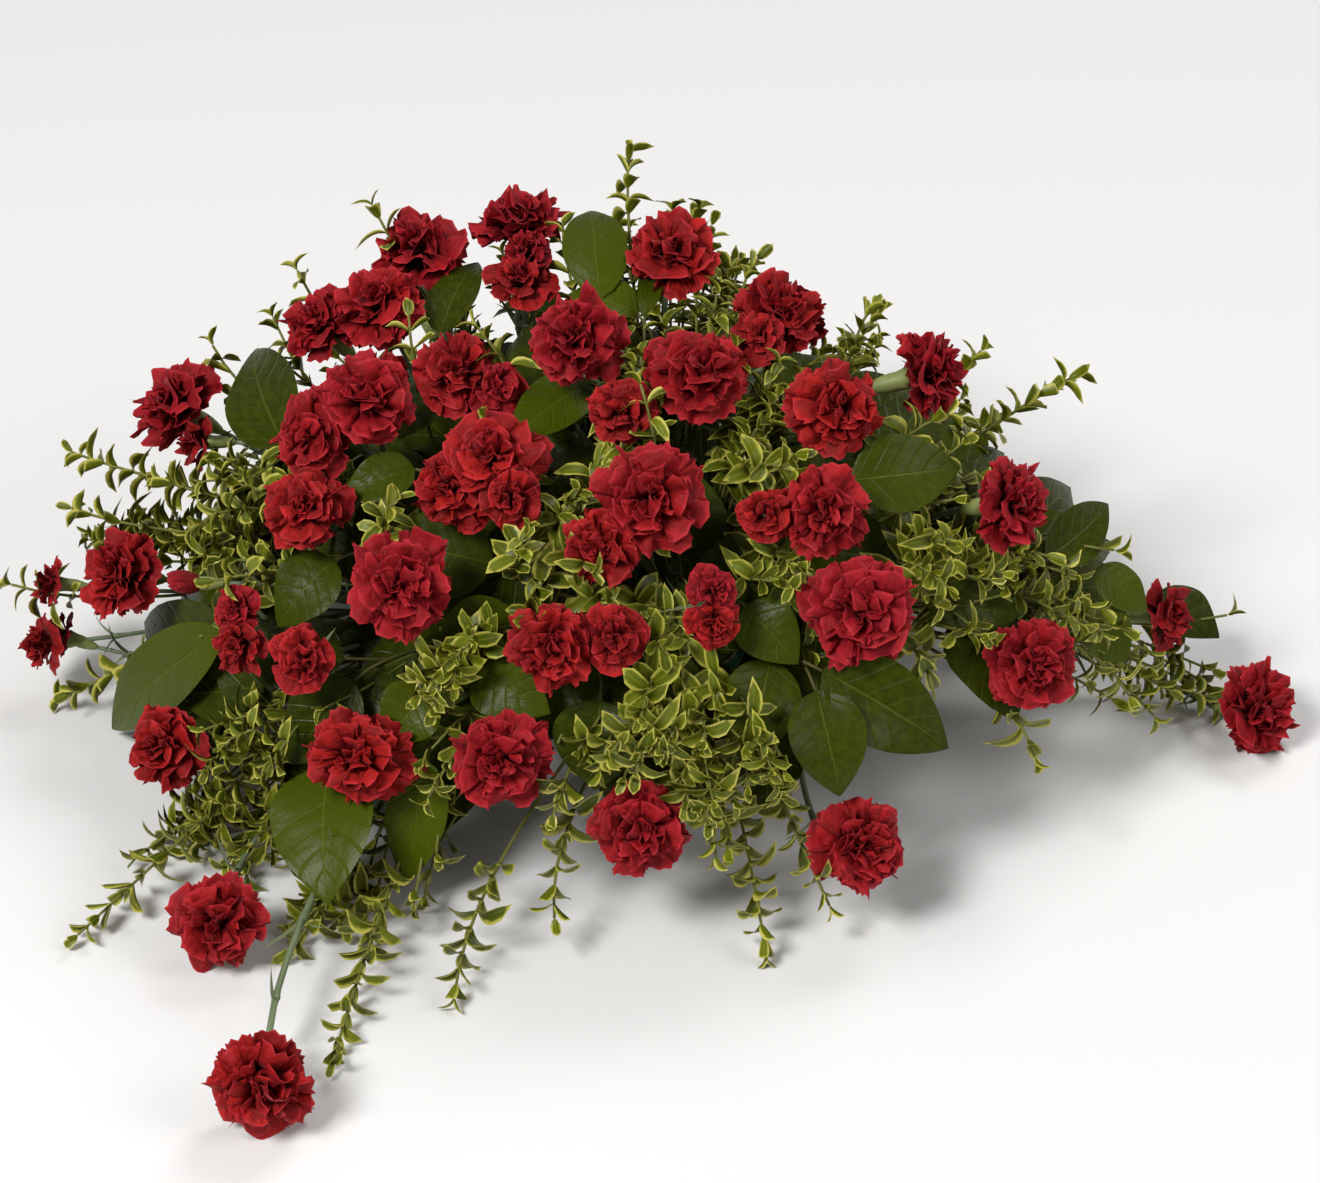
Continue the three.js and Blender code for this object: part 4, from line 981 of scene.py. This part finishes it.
# The side veins leave the midrib at a slant. Deep leaves are painted darker, as painted shade inside the
# spray.
salal_green, tree, shader = new_finish("salal_green", 0.33, 0.1)
tone = tone_parts(tree)
part_across, part_along = place_parts(tree)
away = off_midrib(tree, part_across)
slant = combine(tree, "MULTIPLY_ADD", away, -2 * SALAL_SLANT, part_along)
cycle = combine(tree, "PINGPONG", combine(tree, "MULTIPLY", slant, SALAL_VEINS), 0.5)
side_vein = spread_to(tree, cycle, 0.0, 0.1, 1.0, 0.0)
midrib = spread_to(tree, away, 0.005, 0.02, 1.0, 0.0)
mottle = add_streaks(tree, 9.0, 14.0, tone[0])
hue = mix_colour(tree, tone[0], (0.021, 0.029, 0.001), (0.06, 0.082, 0.0015))
# Painted shade: deep leaves darkened, as inside the spray.
hue = mix_colour(tree, combine(tree, "MULTIPLY", tone[2], 0.55), hue, (0.012, 0.018, 0.002))
hue = mix_colour(tree, spread_to(tree, mottle, 0.35, 0.7, 0.0, 0.4), hue, (0.06, 0.074, 0.003))
hue = mix_colour(tree, combine(tree, "MULTIPLY", side_vein, 0.16), hue, (0.1, 0.12, 0.01))
hue = mix_colour(tree, combine(tree, "MULTIPLY", midrib, 0.45), hue, (0.11, 0.13, 0.01))
veins = combine(tree, "MAXIMUM", side_vein, midrib)
dress(tree, shader, hue, combine(tree, "SUBTRACT", mottle, veins), 0.001, 0.5)

twig_brown, tree, shader = new_finish("twig_brown", 0.6, 0.3)
tone = tone_parts(tree)
grainy = add_streaks(tree, 6.0, 22.0, tone[0])
hue = mix_colour(tree, tone[2], (0.21, 0.23, 0.035), (0.085, 0.08, 0.02))
hue = mix_colour(tree, spread_to(tree, grainy, 0.3, 0.7, 0.0, 0.5), hue, (0.09, 0.065, 0.02))
dress(tree, shader, hue, grainy, 0.0004, 0.5)

draw = np.random.default_rng(SALAL_SEED)
leaves = {}
salal_places = []
for base_across, base_up, tip_across, tip_up, width, under, lift in SALAL_LEAVES:
    base = seat(base_across, base_up, BASE_LOW + lift, -under - BASE_DEEPER)
    tip = seat(tip_across, tip_up, TIP_LOW + lift, -under)
    add_salal(leaves, base, tip, unit(VIEW_BACK + outward(base)), width, draw)
for bearing, pitch, length, width in FAR_SALAL:
    way = heading(bearing, pitch)
    tip = on_dome(way)
    base = tip - way * length
    base[2], tip[2] = max(base[2], FAR_BASE_LOW), max(tip[2], FAR_TIP_LOW)
    add_salal(leaves, base, tip, unit(outward(tip) + [0, 0, 1]), width, draw)
for across, up, half_width, half_height, count, under in DEEP_SALAL:
    for _ in range(count):
        spot = np.array([across, up]) + draw.uniform(-1, 1, 2) * (half_width, half_height)
        lean = unit(spot * (1.0, 1.2) + draw.normal(size=2) * DEEP_LEAN_VARIES)
        far = within(spot + lean * draw.uniform(*DEEP_LENGTHS), under * 0.7)
        spot = far - lean * draw.uniform(*DEEP_LENGTHS)
        deep = under + draw.uniform(*DEEP_VARIES)
        base = seat(*spot, DEEP_BASE_LOW, -deep - DEEP_BASE_DEEPER)
        tip = seat(*far, DEEP_TIP_LOW, -deep)
        facing_out = unit(VIEW_BACK + outward(base) + draw.normal(size=3) * DEEP_FACE_VARIES)
        add_salal(leaves, base, tip, facing_out, draw.uniform(*DEEP_WIDTHS), draw, DEEP_GRID)
for node, bodies in leaves.items():
    show(node.replace("salal", "salal_leaves"), node, bodies, [salal_green, twig_brown])

# Boxwood
# Twiggy sprigs of small stiff leaves in opposite pairs, each pair turned a quarter from the last. The
# leaves are cupped, green with a ragged yellow edge, and smaller towards the tip.

# Across and up where the leafy end of each sprig starts, then of its tip.
SPRIGS = [
    (-42, 188, -22, 316), (-186, 237, -207, 278), (-238, 187, -261, 231), (-179, 165, -181, 198),
    (-107, 163, -131, 190), (-76, 210, -70, 264), (6, 172, 70, 239), (112, 156, 153, 206),
    (173, 108, 301, 156), (-328, 66, -423, 100), (-360, 31, -423, 60), (-302, 138, -322, 177),
    (-421, -10, -467, 5), (-356, -39, -431, -76), (-313, -150, -419, -247),
    (-202, -211, -235, -337), (-140, -183, -148, -292), (-86, -150, -76, -235),
    (61, -150, 76, -260), (83, -143, 122, -226), (256, -71, 270, -119), (310, -46, 403, -80),
    (158, 51, 317, -13), (-130, 23, -83, -31), (-158, -6, -148, -64), (-25, -49, -43, -129),
    (29, -71, 40, -190), (-295, 87, -338, 44), (43, 116, 94, 87), (-222, 40, -190, 66),
    (-94, 51, -50, 15), (0, 109, -14, 149), (191, -17, 198, -78), (317, -35, 338, -75),
    (-259, 23, -320, 8), (194, 59, 288, 23), (151, 109, 205, 127), (-281, -143, -338, -186),
]
# On the far side: bearing, pitch and length.
FAR_SPRIGS = [
    (172, 20, 120), (208, 22, 120), (236, 30, 110), (126, 32, 110), (150, 52, 100), (196, 56, 100),
]
# Tufts of short sprigs that fill the gaps between the heads: across and up of the middle of each tuft,
# its half width and half height, the way its sprigs lean (across, up), how many, and how deep.
TUFTS = [
    (72, 116, 38, 28, 0.3, 0.9, 12, 14),
    (45, 165, 30, 20, 0.2, 1.0, 6, 14),
    (-30, 100, 30, 40, -0.1, 1.0, 9, 20),
    (-80, 60, 26, 40, 0.3, 0.5, 8, 20),
    (-105, 15, 34, 30, 0.1, -0.6, 12, 0),
    (-60, 5, 30, 22, 0.2, -0.3, 6, 14),
    (215, 30, 60, 24, 0.9, -0.25, 18, -2),
    (285, -8, 34, 12, 0.9, -0.5, 6, 8),
    (180, 66, 32, 20, 0.8, 0.1, 7, 18),
    (215, -30, 40, 16, 0.9, -0.3, 8, 0),
    (320, -44, 50, 12, 0.9, -0.4, 8, 4),
    (6, -68, 34, 34, -0.1, -0.9, 17, -12),
    (54, -84, 30, 38, 0.15, -0.95, 15, -12),
    (0, 30, 40, 30, 0.4, 0.2, 6, 24),
    (90, 20, 30, 36, 0.4, -0.5, 6, 22),
    (-60, -90, 30, 30, -0.1, -1.0, 6, 4),
    (-150, -40, 30, 30, -0.4, -0.9, 8, 6),
    (-285, -95, 34, 22, -0.8, -0.6, 9, 6),
    (-180, -75, 34, 24, -0.5, -0.8, 8, 14),
    (-282, 84, 38, 22, -0.8, 0.4, 11, 14),
    (-318, 32, 42, 28, -0.9, -0.1, 12, 10),
    (-280, 40, 40, 30, -0.8, -0.3, 8, 16),
    (-200, 90, 30, 30, -0.5, 0.4, 6, 24),
    (-302, -142, 30, 20, -0.6, -0.6, 9, 4),
    (-228, -176, 24, 40, -0.25, -0.95, 10, 4),
    (-176, -150, 24, 24, -0.1, -1.0, 6, 6),
    (-232, 160, 36, 22, -0.5, 0.8, 7, 18),
    (-150, 200, 40, 24, 0.0, 1.0, 8, 16),
    (-50, 215, 40, 26, 0.1, 1.0, 7, 16),
    (20, 205, 30, 24, 0.2, 1.0, 6, 14),
    (52, 92, 34, 18, 0.35, 0.8, 12, 20),
    (48, 106, 30, 12, 0.9, 0.1, 10, 18),
]
# The same on the far side: bearing, pitch, half spread of both, how many, and length.
FAR_TUFTS = [
    (178, 30, 58, 30, 58, 90),
    (178, 8, 66, 6, 30, 100),
    (116, 17, 18, 11, 12, 90),
    (242, 17, 18, 11, 12, 90),
]
FAR_TUFT_REACH = (0.78, 0.94)
FAR_LOW = 12
BOXWOOD_LEAF = 19.5
BOXWOOD_WIDTH = 10.3
BOXWOOD_THICKNESS = 0.7
# Pairs of leaves on a sprig and on a tuft come this far apart.
BOXWOOD_SPACING = (9.6, 8.5)
BOXWOOD_GRID = (7, 5)
TUFT_GRID = (6, 3)
# Twigs have these rings and sides, and those of tufts fewer.
TWIG_GRID = (18, 6)
TUFT_TWIG_GRID = (9, 4)
TWIG_RADII = (1.6, 1.0)
TWIG_ARRIVAL = 0.25
TWIG_SIDE = (0.2, 0.35, 0.9)
# A leaf's middle and its ends keep this far from the points of salal leaves.
SALAL_CLEAR = 11.0
SALAL_END_CLEAR = 7.0
# Sprigs left and right of these and not this far back stand in the side bunches, and higher ones than
# this in the crown bunch.
BOXWOOD_LEFT = -150
BOXWOOD_RIGHT = 130
BOXWOOD_BACK = 140
BOXWOOD_HIGH = 230
# A sprig starts and ends this far out of the dome, and is at least this high. Tufts lie deeper by
# what their row says.
SPRIG_BASE = -12
SPRIG_TIP = 6
SPRIG_LOW = 10
TUFT_LENGTHS = (40, 64)
TUFT_BASE = -26
TUFT_TIP = 8
TUFT_BASE_LOW = 14
TUFT_TIP_LOW = 12
TUFT_VARIES = (-8, 22)
TUFT_LEAN_VARIES = 0.35
# Tufts keep clear of a head's face by this share of its radius, or this much for a small one, down
# to this share behind its middle.
FACE_COVER = 0.94
LEAST_COVER = 18
FACE_DEPTH = 0.6
BOXWOOD_SEED = 23


def boxwood_node(point):
    """The bunch that a sprig stands in."""
    x, y, z = point
    if x < BOXWOOD_LEFT and y < BOXWOOD_BACK:
        return "boxwood_left"
    if x > BOXWOOD_RIGHT and y < BOXWOOD_BACK:
        return "boxwood_right"
    return "boxwood_crown" if y > 0 or z > BOXWOOD_HIGH else "boxwood_front"


def box_leaves(roots, ways, ups, length, draw, grid):
    """Boxwood leaves as sheets, cupped by the square of the way across and bent back along them.

    Half a leaf's width is the way from its root to a power times the way to its tip to a power.
    """
    count = len(roots)

    def vary(low, high):
        return draw.uniform(low, high, (count, 1, 1))

    along, across = sheet_grid(*grid)
    side = unit(np.cross(ways, ups))
    full = along**0.62 * (1 - along) ** 0.36 / 0.53
    half = BOXWOOD_WIDTH / 2 * length[:, None, None] / BOXWOOD_LEAF * full * vary(0.8, 1.15)
    far = length[:, None, None] * along
    cup = half * (vary(0.3, 1.1) * across**2 - 0.12 * np.abs(across) + vary(-0.5, 0.5) * across * along)
    bend = vary(0.0, 1.1) * far * along**1.5 - vary(0.0, 0.25) * far
    return roots[:, None, None] + spread(far, ways) + spread(half * across, side) + spread(cup - bend, ups)


def hides_a_head(point):
    """Whether a point is in front of a head's face in the front view, or inside the head."""
    for head in heads:
        offset = head["middle"] - point
        near = offset @ VIEW_BACK
        aside = np.linalg.norm(offset + near * -VIEW_BACK)
        cover = max(FACE_COVER * head["radius"], LEAST_COVER)
        if aside < cover and near < FACE_DEPTH * head["radius"]:
            return True
    return False


def add_sprig(sprigs, base, tip, draw, grid=BOXWOOD_GRID):
    """A sprig: its twig from the bunch, and pairs of leaves over its leafy end. A leaf that would
    cross a salal leaf is left out."""
    node = boxwood_node(tip)
    way = unit(tip - base)
    leafy = np.linalg.norm(tip - base)
    points = stem_route(node, tip, way, TWIG_ARRIVAL)
    shift = draw.uniform(0, 1)
    length = length_of(points)
    mesh_grid = TWIG_GRID if grid == BOXWOOD_GRID else TUFT_TWIG_GRID
    sprigs.setdefault(node, []).append(twig(points, TWIG_RADII, mesh_grid, (shift, 0, 0.3)))
    pairs = max(3, round(leafy / BOXWOOD_SPACING[grid == TUFT_GRID]))
    from_tip = np.linspace(0, leafy, pairs) + draw.uniform(-1.5, 1.5, pairs) * (np.arange(pairs) > 0)
    spots, slopes = walk(points, np.clip(length - from_tip, 0, length))
    share = from_tip / leafy
    size = BOXWOOD_LEAF * (0.7 + 0.36 * np.minimum(share * 2.6, 1)) * draw.uniform(0.85, 1.1, pairs)
    open_angle = 0.4 + 0.6 * np.minimum(share * 3, 1) + draw.uniform(-0.2, 0.2, pairs)
    side = unit(np.cross(slopes, TWIG_SIDE))
    rise = np.cross(slopes, side)
    turn = np.arange(pairs) * np.pi / 2 + draw.uniform(-0.35, 0.35, pairs) + draw.uniform(0, 3)
    out = np.cos(turn)[:, None] * side + np.sin(turn)[:, None] * rise
    out = np.concatenate([out, -out])
    ahead = np.concatenate([slopes, slopes])
    angle = np.concatenate([open_angle, open_angle + draw.uniform(-0.15, 0.15, pairs)])[:, None]
    leaf_way = np.cos(angle) * ahead + np.sin(angle) * out
    leaf_up = np.sin(angle) * ahead - np.cos(angle) * out
    count = 2 * pairs
    sheets = box_leaves(np.concatenate([spots, spots]), leaf_way, leaf_up, np.tile(size, 2), draw, grid)
    sheets[..., 2] = np.maximum(sheets[..., 2], LIE)
    tones = random_tones(draw, count, shift)
    clear = gap_to(sheets.mean(axis=(1, 2)), salal_points) > SALAL_CLEAR
    for end in (0, -1):
        clear &= gap_to(sheets[:, end, 0], salal_points) > SALAL_END_CLEAR
    if clear.any():
        sprigs[node].append(blades(sheets[clear], BOXWOOD_THICKNESS, tones[clear]))


# The yellow margin runs round the leaf with a ragged inner edge.
boxwood_green, tree, shader = new_finish("boxwood_green", 0.42, 0.24)
tone = tone_parts(tree)
part_across, part_along = place_parts(tree)
away = off_midrib(tree, part_across)
ragged = add_streaks(tree, 5.0, 4.0, tone[0])
side_margin = spread_to(tree, combine(tree, "MULTIPLY_ADD", ragged, 0.24, away), 0.4, 0.54)
tip_margin = spread_to(tree, combine(tree, "MULTIPLY_ADD", ragged, 0.2, part_along), 0.96, 1.04)
midrib = spread_to(tree, away, 0.01, 0.05, 0.5, 0.0)
yellow = mix_colour(tree, tone[1], (0.38, 0.36, 0.045), (0.56, 0.51, 0.11))
hue = mix_colour(tree, tone[0], (0.06, 0.078, 0.002), (0.145, 0.17, 0.007))
hue = mix_colour(tree, midrib, hue, (0.22, 0.25, 0.02))
hue = mix_colour(tree, combine(tree, "MAXIMUM", side_margin, tip_margin), hue, yellow)
dress(tree, shader, hue, ragged, 0.0004, 0.4)

draw = np.random.default_rng(BOXWOOD_SEED)
sprigs = {}
salal_points = np.concatenate(salal_places)
for base_across, base_up, tip_across, tip_up in SPRIGS:
    base = seat(base_across, base_up, SPRIG_LOW, SPRIG_BASE)
    add_sprig(sprigs, base, seat(tip_across, tip_up, SPRIG_LOW, SPRIG_TIP), draw)
for bearing, pitch, length in FAR_SPRIGS:
    way = heading(bearing, pitch)
    tip = on_dome(way)
    tip[2] = max(tip[2], FAR_LOW)
    add_sprig(sprigs, tip - way * length, tip, draw)
for across, up, half_width, half_height, lean_across, lean_up, count, under in TUFTS:
    for _ in range(count):
        spot = np.array([across, up]) + draw.uniform(-1, 1, 2) * (half_width, half_height)
        lean = unit(np.array([lean_across, lean_up]) + draw.normal(size=2) * TUFT_LEAN_VARIES)
        deep = under + draw.uniform(*TUFT_VARIES)
        far = spot + lean * draw.uniform(*TUFT_LENGTHS)
        base = seat(*spot, TUFT_BASE_LOW, TUFT_BASE - deep)
        tip = seat(*far, TUFT_TIP_LOW, TUFT_TIP - deep)
        if not any(hides_a_head(base + (tip - base) * share) for share in (0.3, 0.65, 1)):
            add_sprig(sprigs, base, tip, draw, TUFT_GRID)
for bearing, pitch, wide, high, count, length in FAR_TUFTS:
    for _ in range(count):
        way = heading(bearing + draw.uniform(-1, 1) * wide, pitch + draw.uniform(-1, 1) * high)
        tip = on_dome(way) * draw.uniform(*FAR_TUFT_REACH)
        tip[2] = max(tip[2], FAR_LOW)
        base = tip - unit(way + draw.normal(size=3) * 0.3) * length * draw.uniform(0.6, 1)
        base[2] = max(base[2], 8)
        add_sprig(sprigs, base, tip, draw, TUFT_GRID)
for node, bodies in sprigs.items():
    finishes = [boxwood_green, twig_brown]
    show(node.replace("boxwood", "boxwood_sprigs"), node, bodies, finishes)

# Foam holder
# A wet brick of dark green floral foam, strapped by two waterproof tapes into a moulded plastic saddle
# tray with a soft non-slip pad under it. These keep the shapes of the solids.


def speckle(tree, scale, detail):
    """The socket of noise of a scale, in turns a metre, on object coordinates."""
    where = wire(tree, "ShaderNodeTexCoord", {}).outputs["Object"]
    settings = {"Vector": where, "Scale": scale, "Detail": detail, "Roughness": 0.6}
    return wire(tree, "ShaderNodeTexNoise", {}, **settings).outputs["Fac"]


foam_green, tree, shader = new_finish("foam_green", 0.95, 0.1)
crumb = speckle(tree, 900.0, 4.0)
# Painted shade darkens the foam in patches, standing for its pits.
pit_shade = spread_to(tree, speckle(tree, 120.0, 3.0), 0.3, 0.5, 0.6, 0.0)
hue = mix_colour(tree, crumb, (0.006, 0.03, 0.014), (0.02, 0.075, 0.035))
dress(tree, shader, mix_colour(tree, pit_shade, hue, (0.003, 0.012, 0.006)), crumb, 0.002, 0.8)

tray_green, tree, shader = new_finish("tray_green", 0.45, 0.4)
cloud = speckle(tree, 40.0, 2.0)
feed(tree, shader.inputs["Roughness"], spread_to(tree, cloud, 0.3, 0.7, 0.38, 0.52))
hue = mix_colour(tree, cloud, (0.008, 0.04, 0.02), (0.014, 0.06, 0.03))
dress(tree, shader, hue, speckle(tree, 1400.0, 2.0), 0.0003, 0.4)

tape_green, tree, shader = new_finish("tape_green", 0.3, 0.5)
weave = speckle(tree, 700.0, 2.0)
dress(tree, shader, mix_colour(tree, weave, (0.01, 0.06, 0.03), (0.02, 0.09, 0.045)), weave, 0.0005, 0.5)

pad_grey, tree, shader = new_finish("pad_grey", 0.9, 0.2)
grain = speckle(tree, 500.0, 3.0)
dress(tree, shader, mix_colour(tree, grain, (0.02, 0.02, 0.02), (0.05, 0.05, 0.05)), grain, 0.001, 0.6)

HOLDER = {
    "foam_brick": foam_green,
    "saddle_tray": tray_green,
    "anchor_tape_left": tape_green,
    "anchor_tape_right": tape_green,
    "nonslip_pad": pad_grey,
}
for node, material in HOLDER.items():
    for slot_of_node in bpy.data.objects[node].material_slots:
        slot_of_node.link = "OBJECT"
        slot_of_node.material = material
